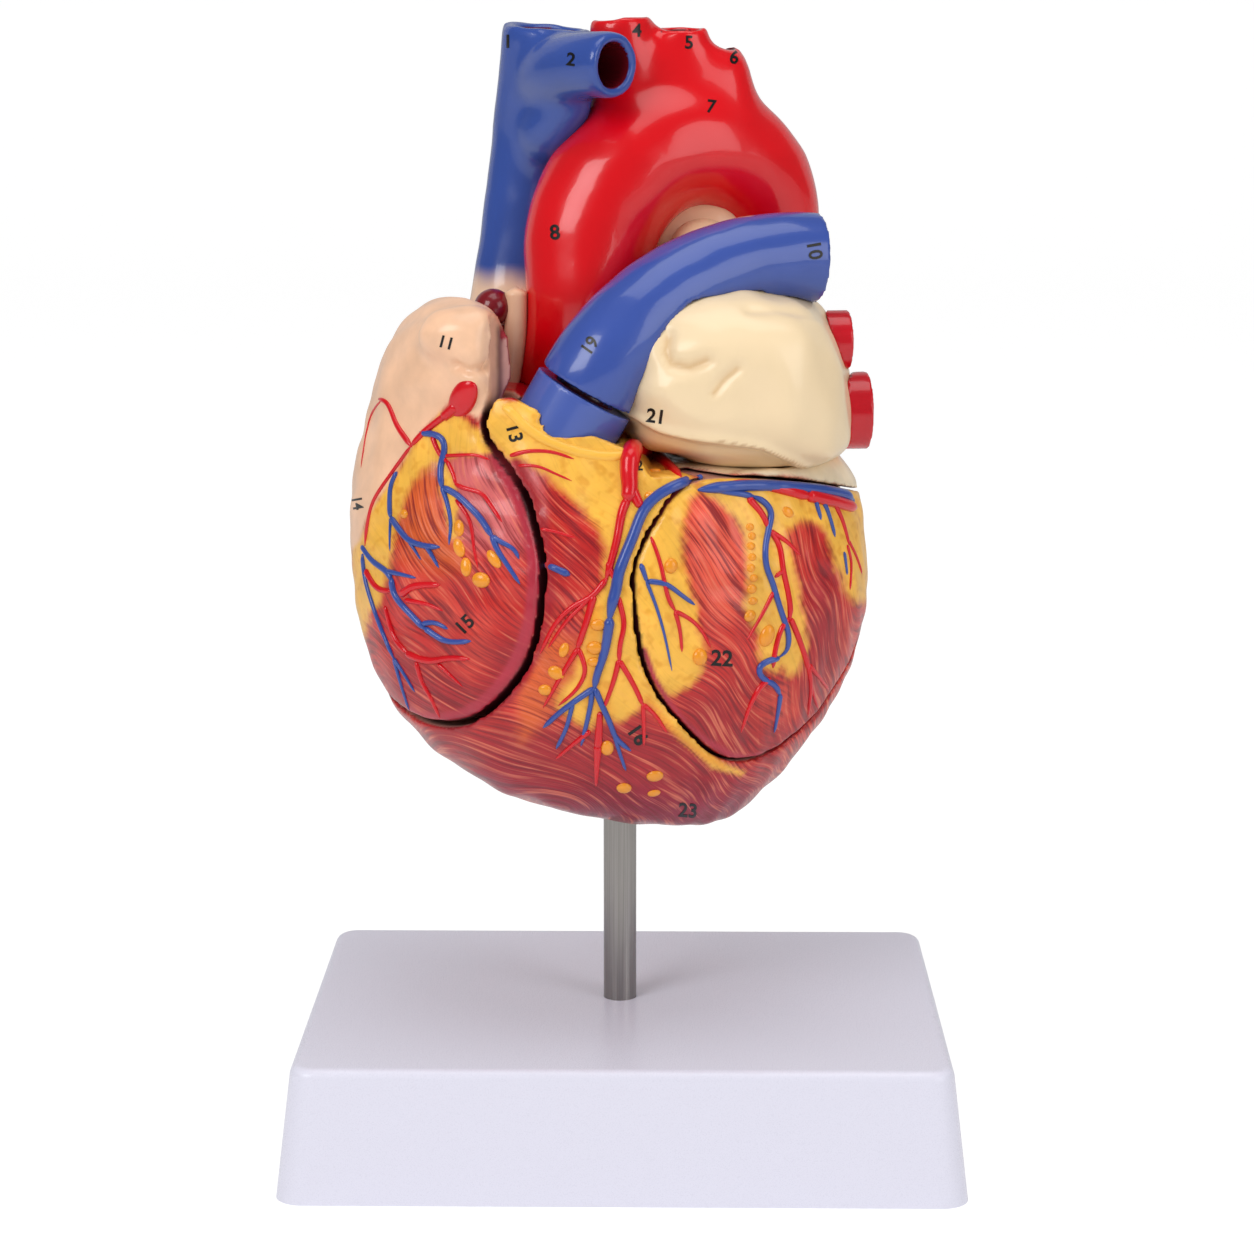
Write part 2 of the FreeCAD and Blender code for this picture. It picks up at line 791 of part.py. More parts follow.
def makeChordae(muscles, centre, ring):
    # cords from each muscle's tip to the funnel's mouth
    mouth = at((centre[0], centre[1], ring - funnelHeight - chordaRadius))
    pieces = []
    for x, y, tip in muscles:
        start = at((x, y, tip + papillaryTipRadius + chordaRadius))
        away = math.atan2(y - centre[1], x - centre[0])
        for i in range(chordaeOfMuscle):
            angle = away + math.radians(chordaSpread * (i - (chordaeOfMuscle - 1) / 2))
            end = mouth + Vector(funnelMouth * math.cos(angle), funnelMouth * math.sin(angle), 0)
            side = Vector(chordaFootRadius * math.cos(angle), chordaFootRadius * math.sin(angle), 0)
            pieces.append(taper(start + side, end, chordaRadius))
    return together(pieces)


def save(name, shape):
    good = shape.isValid()
    solids = len(shape.Solids)
    print(f"{name}: {solids} solids, {shape.Volume / 1000:.1f} cm3, valid {good}")
    shape.exportStep("parts/" + name + ".step")


os.makedirs("parts", exist_ok=True)
save("base", makeBase())
save("support_rod", makeSupportRod())
save("base_washer", makeWasher())
save("base_nut", makeNut())
save("rod_liner", makeLiner())
save("heart_core", makeCore())
save("pulmonary_stump", makeStumpCasting())
save("core_magnets", makeMagnets(coreMagnetPlaces()))
save("inferior_vena_cava", makeLowerCava())
save("tricuspid_valve", flapValve(tricuspidCentre, tricuspidRadius, tricuspidRing, tricuspidLeaflets))
save("mitral_valve", flapValve(mitralCentre, mitralRadius, mitralRing, mitralLeaflets))
save("pulmonary_valve_cusps", makePulmonaryValve())
save("aortic_valve_cusps", makeAorticValve())
save("right_papillary_muscles", makePapillaries(rightPapillaries, rightVentricle))
save("left_papillary_muscles", makePapillaries(leftPapillaries, leftVentricle))
save("tricuspid_chordae", makeChordae(rightPapillaries, tricuspidCentre, tricuspidRing))
save("mitral_chordae", makeChordae(leftPapillaries, mitralCentre, mitralRing))
save("right_heart_cover", makeRightCover())
save("right_cover_magnets", makeMagnets(rightMagnetPlaces(False)))
save("left_ventricle_cover", makeLeftCover())
save("left_cover_magnets", makeMagnets(leftMagnetPlaces(False)))
save("aorta", makeAorta())
save("superior_vena_cava", makeCava())
save("pulmonary_trunk", makePulmonaryTrunk())
save("left_atrium", makeLeftAtrium())
save("left_pulmonary_veins", makeVeins(leftVeins))
save("right_pulmonary_veins", makeVeins(rightVeins))
save("top_magnets", makeMagnets(topMagnetPlaces(1)))
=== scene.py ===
import math

import bmesh
import bpy
import numpy as np
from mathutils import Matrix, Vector
from mathutils.bvhtree import BVHTree
from mathutils.kdtree import KDTree


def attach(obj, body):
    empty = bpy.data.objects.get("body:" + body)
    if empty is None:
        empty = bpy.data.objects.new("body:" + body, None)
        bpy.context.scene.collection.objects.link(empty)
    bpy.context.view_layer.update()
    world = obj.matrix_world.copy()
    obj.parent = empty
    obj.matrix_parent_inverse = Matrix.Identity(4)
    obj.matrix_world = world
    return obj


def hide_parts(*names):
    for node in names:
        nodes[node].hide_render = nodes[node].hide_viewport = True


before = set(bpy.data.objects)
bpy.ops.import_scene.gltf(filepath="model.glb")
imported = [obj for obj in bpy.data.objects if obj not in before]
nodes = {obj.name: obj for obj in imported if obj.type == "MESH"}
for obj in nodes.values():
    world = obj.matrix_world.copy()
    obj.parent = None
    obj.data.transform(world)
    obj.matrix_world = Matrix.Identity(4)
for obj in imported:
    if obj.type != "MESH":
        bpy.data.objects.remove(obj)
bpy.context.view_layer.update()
print("frame loaded")

# lengths are in metres, and mm turns millimetres into them
mm = 0.001
heartBottom = 97 * mm
mergeDistance = 0.001 * mm

# the camera: eye, turn and tilt in degrees, focal length and frame size in pixels, sensor in millimetres,
# and how near and far it sees. A spot is a place in its view, in those pixels
lens = {"eye": (0.0129, -0.912, 0.3358), "turn": 0.77, "tilt": -11.23, "focal": 3093, "size": 1254,
        "sensor": 36, "near": 0.01, "far": 50}


def makeCamera():
    data = bpy.data.cameras.new("camera")
    data.sensor_width = lens["sensor"]
    data.lens = lens["focal"] / lens["size"] * lens["sensor"]
    data.clip_start = lens["near"]
    data.clip_end = lens["far"]
    camera = bpy.data.objects.new("camera", data)
    camera.location = lens["eye"]
    camera.rotation_euler = (math.radians(90 + lens["tilt"]), 0, math.radians(lens["turn"]))
    bpy.context.scene.collection.objects.link(camera)
    bpy.context.scene.camera = camera
    bpy.context.view_layer.update()
    return camera


camera = makeCamera()
eye = np.array(lens["eye"])
rightWay, upWay, backWay = np.array(camera.matrix_world.to_3x3()).T
middle = lens["size"] / 2


def toView(points):
    # perspective: sideways and upward distance over depth, times the focal length
    away = points - eye
    depth = -away @ backWay
    across = middle + lens["focal"] * (away @ rightWay) / depth
    down = middle - lens["focal"] * (away @ upWay) / depth
    return np.stack([across, down], axis=-1)


def lineOfSight(spot):
    # the unit ray from the eye through a spot
    ray = -backWay * lens["focal"] + (spot[0] - middle) * rightWay - (spot[1] - middle) * upWay
    return ray / np.linalg.norm(ray)


def hexColour(code):
    # sRGB hex to linear light: the standard two-part curve
    part = np.array([int(code[i:i + 2], 16) / 255 for i in (1, 3, 5)])
    return np.where(part <= 0.04045, part / 12.92, ((part + 0.055) / 1.055) ** 2.4)


def smoothStep(low, high, value):
    # 0 below low, 1 above high and an S curve between them
    t = np.clip((value - low) / (high - low), 0, 1)
    return t * t * (3 - 2 * t)


def ripple(points, size, seed, waves=9):
    # sum of sine waves in random directions, with wavelengths near size, from about -1 to 1
    dice = np.random.default_rng(seed)
    ways = dice.normal(size=(waves, points.shape[1]))
    ways /= np.linalg.norm(ways, axis=1)[:, None]
    lengths = size * dice.uniform(0.6, 1.6, waves)
    phases = dice.uniform(0, 2 * np.pi, waves)
    return np.sin(points @ (ways / lengths[:, None] * 2 * np.pi).T + phases).sum(axis=1) / math.sqrt(waves)


def blend(paint, share, code):
    # each point's colour moves towards the given one by its share
    return paint + share[:, None] * (hexColour(code) - paint)


def distanceTo(spots, corners):
    # from each spot to the nearest point of the line through the corners
    nearest = np.full(len(spots), np.inf)
    for start, end in zip(corners[:-1], corners[1:]):
        edge = end - start
        t = np.clip(((spots - start) @ edge) / (edge @ edge), 0, 1)
        nearest = np.minimum(nearest, np.linalg.norm(spots - start - t[:, None] * edge, axis=1))
    return nearest


def insideOutline(spots, outline, soft):
    # distance from each spot to the closed outline, positive inside, turned into 0 to 1 over the soft width
    corners = np.array(outline + outline[:1], float)
    inside = np.zeros(len(spots), bool)
    for start, end in zip(corners[:-1], corners[1:]):
        crosses = (start[1] > spots[:, 1]) != (end[1] > spots[:, 1])
        slope = (end[0] - start[0]) / (end[1] - start[1]) if end[1] != start[1] else 0
        inside ^= crosses & (spots[:, 0] < start[0] + (spots[:, 1] - start[1]) * slope)
    nearest = distanceTo(spots, corners)
    return smoothStep(-soft, soft, np.where(inside, nearest, -nearest))


def besideLine(spots, route, width, soft):
    # 1 within the width of a line, falling to 0 over the soft width
    return 1 - smoothStep(width - soft, width + soft, distanceTo(spots, np.array(route, float)))


def towardsEye(points):
    way = eye - points
    return way / np.linalg.norm(way, axis=1)[:, None]


def addPiece(name, mesh, body, material, replaced=()):
    piece = bpy.data.objects.new(name, mesh)
    bpy.context.scene.collection.objects.link(piece)
    mesh.materials.clear()
    mesh.materials.append(material)
    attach(piece, body)
    if replaced:
        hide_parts(*replaced)
    return piece


def smoothShading(mesh):
    mesh.polygons.foreach_set("use_smooth", np.ones(len(mesh.polygons), bool))
    mesh.update()


def meshFrom(name, points, faces):
    mesh = bpy.data.meshes.new(name)
    mesh.from_pydata(points.tolist(), [], faces)
    smoothShading(mesh)
    return mesh


def pointsOf(mesh):
    co = np.empty(len(mesh.vertices) * 3, np.float32)
    mesh.vertices.foreach_get("co", co)
    return co.reshape(-1, 3).astype(float)


def normalsOf(mesh):
    flat = np.empty(len(mesh.vertices) * 3, np.float32)
    mesh.vertex_normals.foreach_get("vector", flat)
    return flat.reshape(-1, 3).astype(float)


def edgesOf(mesh):
    pairs = np.empty(len(mesh.edges) * 2, np.int32)
    mesh.edges.foreach_get("vertices", pairs)
    return pairs.reshape(-1, 2)


def setPoints(mesh, points):
    mesh.vertices.foreach_set("co", points.astype(np.float32).ravel())
    mesh.update()


def neighbourMean(values, edges, count):
    # average of the values at each point's neighbours
    total = np.zeros_like(values)
    np.add.at(total, edges[:, 0], values[edges[:, 1]])
    np.add.at(total, edges[:, 1], values[edges[:, 0]])
    return total / (count if values.ndim == 1 else count[:, None])


def neighbourCount(edges, size):
    return np.maximum(np.bincount(edges.ravel(), minlength=size), 1).astype(float)


def attribute(mesh, name, kind, values):
    key = {"FLOAT_COLOR": "color", "FLOAT_VECTOR": "vector", "FLOAT": "value"}[kind]
    layer = mesh.attributes.new(name, kind, "POINT")
    layer.data.foreach_set(key, np.asarray(values, np.float32).ravel())


def paintAttribute(mesh, paint):
    attribute(mesh, "paint", "FLOAT_COLOR", np.concatenate([paint, np.ones((len(paint), 1))], axis=1))


def smoothRoute(points, step, cuts=12):
    # Catmull-Rom curve through the points, each span in cuts, then cut again into even steps of arc length
    knots = np.array(points, float)
    if len(knots) == 2:
        knots = np.array([knots[0], (knots[0] + knots[1]) / 2, knots[1]])
    padded = np.concatenate([[2 * knots[0] - knots[1]], knots, [2 * knots[-1] - knots[-2]]])
    t = np.linspace(0, 1, cuts, endpoint=False)[:, None]
    runs = []
    for a, b, c, d in zip(padded[:-3], padded[1:-2], padded[2:-1], padded[3:]):
        runs.append(0.5 * (2 * b + (c - a) * t + (2 * a - 5 * b + 4 * c - d) * t ** 2
                           + (3 * b - a - 3 * c + d) * t ** 3))
    curve = np.concatenate(runs + [knots[-1:]])
    length = np.concatenate([[0], np.cumsum(np.linalg.norm(np.diff(curve, axis=0), axis=1))])
    even = np.linspace(0, length[-1], max(int(length[-1] / step), 4))
    return np.stack([np.interp(even, length, curve[:, k]) for k in range(curve.shape[1])], axis=1)


def closedRings(count, sides):
    # four-sided faces between the rings and a fan round the pole at each end
    faces = []
    for j in range(sides):
        k = (j + 1) % sides
        for i in range(count - 1):
            faces.append((i * sides + j, i * sides + k, (i + 1) * sides + k, (i + 1) * sides + j))
        faces.append((count * sides, k, j))
        faces.append((count * sides + 1, (count - 1) * sides + j, (count - 1) * sides + k))
    return faces


def tubeAlong(line, normals, radii, proud, sides=10, pole=0.5):
    # a ring of points square to the line at each of its points, closed by a pole at each end. The rings'
    # centres stand proud of the line, and the poles lie beyond its ends, by these shares of the radius
    way = np.gradient(line, axis=0)
    way /= np.linalg.norm(way, axis=1)[:, None]
    side = np.cross(way, normals)
    side /= np.linalg.norm(side, axis=1)[:, None]
    out = np.cross(side, way)
    angle = np.linspace(0, 2 * np.pi, sides, endpoint=False)
    centre = line + out * (radii * proud)[:, None]
    circle = np.cos(angle)[None, :, None] * side[:, None] + np.sin(angle)[None, :, None] * out[:, None]
    rings = centre[:, None] + radii[:, None, None] * circle
    poles = [centre[0] - way[0] * radii[0] * pole, centre[-1] + way[-1] * radii[-1] * pole]
    return np.concatenate([rings.reshape(-1, 3), poles]), closedRings(len(line), sides)


def joined(shapes):
    # several shapes as one list of points and one of faces
    points = []
    faces = []
    shift = 0
    for some, corners in shapes:
        faces += [tuple(i + shift for i in face) for face in corners]
        points.append(some)
        shift += len(some)
    return np.concatenate(points), faces


def fineCopy(nodeName, voxel, added=None):
    # an even net over the casting, laid back onto its true surface, or round it and the shape added to it
    source = nodes[nodeName]
    mesh = source.data.copy()
    work = bmesh.new()
    work.from_mesh(mesh)
    if added:
        work.from_mesh(meshFrom("added", *added))
    bmesh.ops.remove_doubles(work, verts=work.verts, dist=mergeDistance)
    work.to_mesh(mesh)
    work.free()
    helper = bpy.data.objects.new(nodeName + ".helper", mesh)
    bpy.context.scene.collection.objects.link(helper)
    remesh = helper.modifiers.new("net", "REMESH")
    remesh.mode = "VOXEL"
    remesh.voxel_size = voxel
    if not added:
        wrap = helper.modifiers.new("lay", "SHRINKWRAP")
        wrap.target = source
        wrap.wrap_method = "NEAREST_SURFACEPOINT"
    bpy.context.view_layer.update()
    graph = bpy.context.evaluated_depsgraph_get()
    fine = bpy.data.meshes.new_from_object(helper.evaluated_get(graph))
    bpy.data.objects.remove(helper)
    fine.name = nodeName + ".painted"
    smoothShading(fine)
    return fine


def treeOf(meshes):
    points = []
    faces = []
    for mesh in meshes:
        mesh.calc_loop_triangles()
        corners = np.empty(len(mesh.loop_triangles) * 3, np.int32)
        mesh.loop_triangles.foreach_get("vertices", corners)
        faces.append(corners.reshape(-1, 3) + sum(len(p) for p in points))
        points.append(pointsOf(mesh))
    return BVHTree.FromPolygons(np.concatenate(points).tolist(), np.concatenate(faces).tolist())


def openAir(points, normals, tree, lift=0.6 * mm, far=60 * mm):
    # how far a way straight out of the surface runs before it meets the castings, as a share of far. It is
    # 1 on the skin, where nothing is met, and stays below 1 on every wall
    starts = points + normals * lift
    hits = [tree.ray_cast(Vector(p), Vector(n), far)[3] for p, n in zip(starts, normals)]
    return np.array([1.0 if hit is None else hit / far * 0.99 for hit in hits])


def soften(mesh, weight, rounds, pull=0.6):
    # each round pulls a point towards the middle of its neighbours, by its weight
    edges = edgesOf(mesh)
    points = pointsOf(mesh)
    count = neighbourCount(edges, len(points))
    for _ in range(rounds):
        points += weight[:, None] * pull * (neighbourMean(points, edges, count) - points)
    setPoints(mesh, points)


def roundEdges(mesh, skin, rounds, spread=2, strength=1.5):
    # softens the line where the skin turns into a wall, and a few rows of points beside it
    edges = edgesOf(mesh)
    count = neighbourCount(edges, len(skin))
    near = (neighbourMean(skin, edges, count) != skin).astype(float)
    for _ in range(spread):
        near = np.maximum(near, neighbourMean(near, edges, count))
    soften(mesh, np.clip(near * strength, 0, 1), rounds)


def sculpt(mesh, nodeName, skin, plan):
    # lumps left by the modeller's hand, then swells and ridges seen from the front: each is a bell
    # of the distance between spots, times its height in millimetres, along the normal. The result stays
    # in the node's own box
    points = pointsOf(mesh)
    normals = normalsOf(mesh)
    spots = toView(points)
    shift = ripple(points, plan.get("lumpSize", 12 * mm), 3) * plan.get("lump", 0.0)
    seen = smoothStep(-0.1, 0.3, np.einsum("ij,ij->i", normals, towardsEye(points)))
    for x, y, along, across, turn, height in plan.get("swells", ()):
        c, s = math.cos(math.radians(turn)), math.sin(math.radians(turn))
        away = spots - (x, y)
        bell = np.exp(-((away @ (c, s)) / along) ** 2 - ((away @ (-s, c)) / across) ** 2)
        shift += seen * bell * height * mm
    for width, height, *route in plan.get("ridges", ()):
        bell = np.exp(-(distanceTo(spots, np.array(route, float)) / width) ** 2)
        shift += seen * bell * height * mm
    points += normals * (shift * skin)[:, None]
    node = nodes[nodeName]
    corners = np.array([node.matrix_world @ Vector(corner) for corner in node.bound_box])
    setPoints(mesh, np.clip(points, corners.min(axis=0), corners.max(axis=0)))


def setInputs(tree, node, inputs):
    # a socket is linked, anything else is a value
    for key, value in inputs.items():
        if isinstance(value, bpy.types.NodeSocket):
            tree.links.new(value, node.inputs[key])
        else:
            node.inputs[key].default_value = value


def addNode(tree, kind, inputs=None, **settings):
    node = tree.nodes.new(kind)
    for key, value in settings.items():
        setattr(node, key, value)
    setInputs(tree, node, inputs or {})
    return node


def newMaterial(name):
    material = bpy.data.materials.new(name)
    material.use_nodes = True
    tree = material.node_tree
    shader = tree.nodes["Principled BSDF"]
    return material, tree, shader


def rgba(code):
    return (*hexColour(code), 1)


# cast vinyl under hand-sprayed enamel: a wet shine over colours that run into each other. The strands
# are streaks across the fibres, strandWidth in pixels of the camera's view, which drift slowly along them.
# Each layer is a colour, where its noise starts and ends, and how much of the colour goes on at most.
# Speck is the fat's grain, mist the spray's cloudiness and peel its orange peel
# the groove layer darkens the strands' low parts and the ridge layer lightens their high parts: the cast's
# painted striations, which there also paint shade in the grooves and a highlight on the ridges
heartEnamel = {"roughness": 0.36, "specular": 0.3, "coat": 0.35, "coatRoughness": 0.12, "strandWidth": 3.5,
               "strandLength": 18.18 * mm, "groove": ("#84141f", 0.5, 0.37, 0.85),
               "ridge": ("#f58a68", 0.54, 0.68, 0.6), "ochre": ("#e08f1e", 0.55, 0.72, 0.5),
               "speck": 3.03 * mm, "mist": 11.11 * mm, "peel": 1.54 * mm, "mistFrom": 0.86, "mistTo": 1.08,
               "speckDepth": -0.25, "peelDepth": 0.06, "bump": 0.55, "bumpHeight": 0.55 * mm}


def makeHeartEnamel(plan):
    material, tree, shader = newMaterial("vinylCastingSprayedEnamel")
    place = addNode(tree, "ShaderNodeTexCoord").outputs["Object"]
    paint, muscle, fat, fibre = [addNode(tree, "ShaderNodeAttribute", attribute_name=name).outputs[key]
                                 for name, key in (("paint", "Color"), ("muscle", "Fac"), ("fat", "Fac"),
                                                   ("fibre", "Vector"))]
    parts = addNode(tree, "ShaderNodeSeparateXYZ", {"Vector": fibre})
    drift = (1 / plan["strandLength"],) * 3
    strands = []
    for side in ("X", "Y"):
        across = addNode(tree, "ShaderNodeMath", {0: parts.outputs[side], 1: plan["strandWidth"]},
                         operation="DIVIDE")
        lane = addNode(tree, "ShaderNodeCombineXYZ", {"X": across.outputs[0]}).outputs[0]
        way = addNode(tree, "ShaderNodeVectorMath", {0: place, 1: drift, 2: lane}, operation="MULTIPLY_ADD")
        noise = addNode(tree, "ShaderNodeTexNoise", {"Vector": way.outputs[0], "Scale": 1.0, "Detail": 2.0,
                                                     "Roughness": 0.6})
        strands.append(noise.outputs["Fac"])
    strand = addNode(tree, "ShaderNodeMix", {"Factor": parts.outputs["Z"], "A": strands[0],
                                             "B": strands[1]}).outputs["Result"]
    speck, mist, peel = [addNode(tree, "ShaderNodeTexNoise", {"Vector": place, "Scale": 1 / plan[name],
                                                              "Detail": detail}).outputs["Fac"]
                         for name, detail in (("speck", 1.0), ("mist", 4.0), ("peel", 2.0))]
    colour = paint
    # dark groove paint on the strands' low parts and pale ridge paint on their high parts: painted
    # striations, partly painted shade and painted highlight
    for noise, mask, layer in ((strand, muscle, "groove"), (strand, muscle, "ridge"), (speck, fat, "ochre")):
        code, start, end, most = plan[layer]
        amount = addNode(tree, "ShaderNodeMapRange", {"Value": noise, "From Min": start, "From Max": end,
                                                      "To Min": 0.0, "To Max": most}).outputs["Result"]
        share = addNode(tree, "ShaderNodeMath", {0: amount, 1: mask}, operation="MULTIPLY").outputs[0]
        colour = addNode(tree, "ShaderNodeMix", {"Factor": share, "A": colour, "B": rgba(code)},
                         data_type="RGBA").outputs["Result"]
    shade = addNode(tree, "ShaderNodeMapRange", {"Value": mist, "From Min": 0.3, "From Max": 0.7,
                                                 "To Min": plan["mistFrom"],
                                                 "To Max": plan["mistTo"]}).outputs["Result"]
    sprayed = addNode(tree, "ShaderNodeMix", {"Factor": 1.0, "A": colour, "B": shade},
                      data_type="RGBA", blend_type="MULTIPLY")
    # strands stand up, specks are dimples and the peel lies over both
    height = addNode(tree, "ShaderNodeMath", {0: strand, 1: muscle}, operation="MULTIPLY").outputs[0]
    for noise, depth in ((speck, "speckDepth"), (peel, "peelDepth")):
        height = addNode(tree, "ShaderNodeMath", {0: noise, 1: plan[depth], 2: height},
                         operation="MULTIPLY_ADD").outputs[0]
    bump = addNode(tree, "ShaderNodeBump", {"Strength": plan["bump"], "Distance": plan["bumpHeight"],
                                            "Height": height})
    setInputs(tree, shader, {"Base Color": sprayed.outputs["Result"], "Roughness": plan["roughness"],
                             "Specular IOR Level": plan["specular"], "Coat Weight": plan["coat"],
                             "Coat Roughness": plan["coatRoughness"], "Normal": bump.outputs["Normal"]})
    return material


# gloss enamel sprayed over a smooth casting: soft waves in the shine and faint runs of colour. Each has its
# colour (none where the piece has a paint attribute), how far the runs go, the waves' length and height in
# millimetres, the strength of their bump, the roughness and the coat
enamels = {
    "vesselGlossEnamel": (None, 0.1, 12.5, 0.5, 0.25, 0.26, 0.5),
    "atriumSemiGlossEnamel": (None, 0.06, 7.69, 0.6, 0.4, 0.36, 0.3),
    "coronaryVeinEnamel": ("#344f9f", 0.2, 3.33, 0.4, 0.3, 0.28, 0.5),
    "coronaryArteryEnamel": ("#d80418", 0.2, 3.33, 0.4, 0.3, 0.28, 0.5),
    "fatLobuleEnamel": ("#f29a24", 0.25, 2.5, 0.3, 0.3, 0.28, 0.5),
    # dark red for the hole behind the auricle's tip: the atrium's inside colour, with painted shade
    "darkRedHoleShadeEnamel": ("#7c0f1c", 0.25, 4.0, 0.6, 0.5, 0.28, 0.5),
    "creamFoldEnamel": ("#f0c3a0", 0.12, 5.0, 0.5, 0.4, 0.36, 0.3),
    "fatRollEnamel": ("#ffc14a", 0.12, 3.85, 0.5, 0.4, 0.34, 0.3),
    "numeralInk": ("#0c0809", 0.2, 1.11, 0.1, 0.2, 0.4, 0.2),
    "leafletVinyl": ("#ecd9b0", 0.1, 3.33, 0.3, 0.3, 0.4, 0.2),
    "papillaryEnamel": ("#b0363a", 0.25, 4.0, 0.5, 0.5, 0.35, 0.3),
}
enamelRuns = 22.2 * mm
enamelSpecular = 0.35
enamelCoatRoughness = 0.08


def makeGlossEnamel(name, code, mottle, waveLength, waveHeight, strength, roughness, coat):
    material, tree, shader = newMaterial(name)
    place = addNode(tree, "ShaderNodeTexCoord").outputs["Object"]
    if code:
        paint = addNode(tree, "ShaderNodeRGB")
        paint.outputs[0].default_value = rgba(code)
        colour = paint.outputs[0]
    else:
        colour = addNode(tree, "ShaderNodeAttribute", attribute_name="paint").outputs["Color"]
    mist = addNode(tree, "ShaderNodeTexNoise", {"Vector": place, "Scale": 1 / enamelRuns, "Detail": 3.0})
    shade = addNode(tree, "ShaderNodeMapRange", {"Value": mist.outputs["Fac"], "To Min": 1 - mottle,
                                                 "To Max": 1 + mottle}).outputs["Result"]
    sprayed = addNode(tree, "ShaderNodeMix", {"Factor": 1.0, "A": colour, "B": shade},
                      data_type="RGBA", blend_type="MULTIPLY")
    wave = addNode(tree, "ShaderNodeTexNoise", {"Vector": place, "Scale": 1 / (waveLength * mm),
                                                "Detail": 2.0})
    bump = addNode(tree, "ShaderNodeBump", {"Strength": strength, "Distance": waveHeight * mm,
                                            "Height": wave.outputs["Fac"]})
    setInputs(tree, shader, {"Base Color": sprayed.outputs["Result"], "Roughness": roughness,
                             "Specular IOR Level": enamelSpecular, "Coat Weight": coat,
                             "Coat Roughness": enamelCoatRoughness, "Normal": bump.outputs["Normal"]})
    return material


# moulded ABS, satin gloss: a very fine even grain that softens the reflections
baseFinish = {"dark": "#e3e2f1", "light": "#e7e6f4", "roughness": 0.27, "smoother": 0.03, "rougher": 0.05,
              "grain": 0.3 * mm, "bump": 0.05, "bumpHeight": 0.1 * mm}
# bare metals: how often the marks repeat per metre along x, y and z, so drawn lines along the rod, turned
# marks round the liner and an even frosting on plated parts, then the roughness and the two tones
metals = {
    "drawnStainlessSteel": ((3000, 3000, 25), 0.3, "#7d7975", "#b3afab"),
    "zincPlatedSteel": ((400, 400, 400), 0.35, "#8e8f8c", "#c3c4bf"),
    "turnedBrass": ((60, 60, 3000), 0.3, "#9c7a3c", "#cfae66"),
    "nickelPlatedMagnet": ((300, 300, 300), 0.22, "#6f6f72", "#a6a6a8"),
}
metalFinish = {"smoother": 0.08, "rougher": 0.12, "bump": 0.15, "bumpHeight": 0.05 * mm}


def finishFrom(tree, shader, noise, roughness, plan, dark, light):
    # one noise moves the tone, the roughness and the bump together
    tone = addNode(tree, "ShaderNodeMix", {"Factor": noise, "A": rgba(dark), "B": rgba(light)},
                   data_type="RGBA")
    rough = addNode(tree, "ShaderNodeMapRange", {"Value": noise, "To Min": roughness - plan["smoother"],
                                                 "To Max": roughness + plan["rougher"]}).outputs["Result"]
    bump = addNode(tree, "ShaderNodeBump", {"Strength": plan["bump"], "Distance": plan["bumpHeight"],
                                            "Height": noise})
    setInputs(tree, shader, {"Base Color": tone.outputs["Result"], "Roughness": rough,
                             "Normal": bump.outputs["Normal"]})


def makeBasePlastic(plan):
    material, tree, shader = newMaterial("mouldedSatinAbs")
    place = addNode(tree, "ShaderNodeTexCoord").outputs["Object"]
    grain = addNode(tree, "ShaderNodeTexNoise", {"Vector": place, "Scale": 1 / plan["grain"], "Detail": 2.0})
    finishFrom(tree, shader, grain.outputs["Fac"], plan["roughness"], plan, plan["dark"], plan["light"])
    return material


def makeMetal(name, stretch, roughness, dark, light):
    material, tree, shader = newMaterial(name)
    place = addNode(tree, "ShaderNodeTexCoord").outputs["Object"]
    marks = addNode(tree, "ShaderNodeMapping", {"Vector": place, "Scale": stretch}).outputs["Vector"]
    lines = addNode(tree, "ShaderNodeTexNoise", {"Vector": marks, "Scale": 1.0, "Detail": 4.0})
    finishFrom(tree, shader, lines.outputs["Fac"], roughness, metalFinish, dark, light)
    setInputs(tree, shader, {"Metallic": 1.0})
    return material


finishes = {name: makeGlossEnamel(name, *row) for name, row in enamels.items()}
finishes |= {name: makeMetal(name, *row) for name, row in metals.items()}
finishes["heart"] = makeHeartEnamel(heartEnamel)
finishes["base"] = makeBasePlastic(baseFinish)

# each finish, and the nodes that keep their own mesh and wear it
plainNodes = {
    "base": ("base",),
    "drawnStainlessSteel": ("support_rod",),
    "zincPlatedSteel": ("base_washer", "base_nut"),
    "turnedBrass": ("rod_liner",),
    "nickelPlatedMagnet": ("core_magnets", "right_cover_magnets", "left_cover_magnets", "top_magnets"),
    "leafletVinyl": ("tricuspid_valve", "mitral_valve", "pulmonary_valve_cusps", "aortic_valve_cusps",
                     "tricuspid_chordae", "mitral_chordae"),
    "papillaryEnamel": ("right_papillary_muscles", "left_papillary_muscles"),
}
for finish, nodeNames in plainNodes.items():
    for nodeName in nodeNames:
        nodes[nodeName].data.materials.clear()
        nodes[nodeName].data.materials.append(finishes[finish])
print("materials made")

# what the heart is painted with
colours = {
    "muscle": "#cf2a24", "muscleLight": "#ee5a44", "muscleDark": "#ae1e28", "muscleDeep": "#981a36",
    "muscleOrange": "#e0602a", "muscleRose": "#de6a6a", "fat": "#ffc14a", "fatDeep": "#f7a630",
    "cream": "#fccba6", "creamRim": "#f6e2c0", "creamShade": "#d9a283", "aortaRed": "#c80a1a",
    "rim": "#b92f42", "seamShadow": "#2c070c", "lining": "#a83840", "cut": "#e2a596",
}

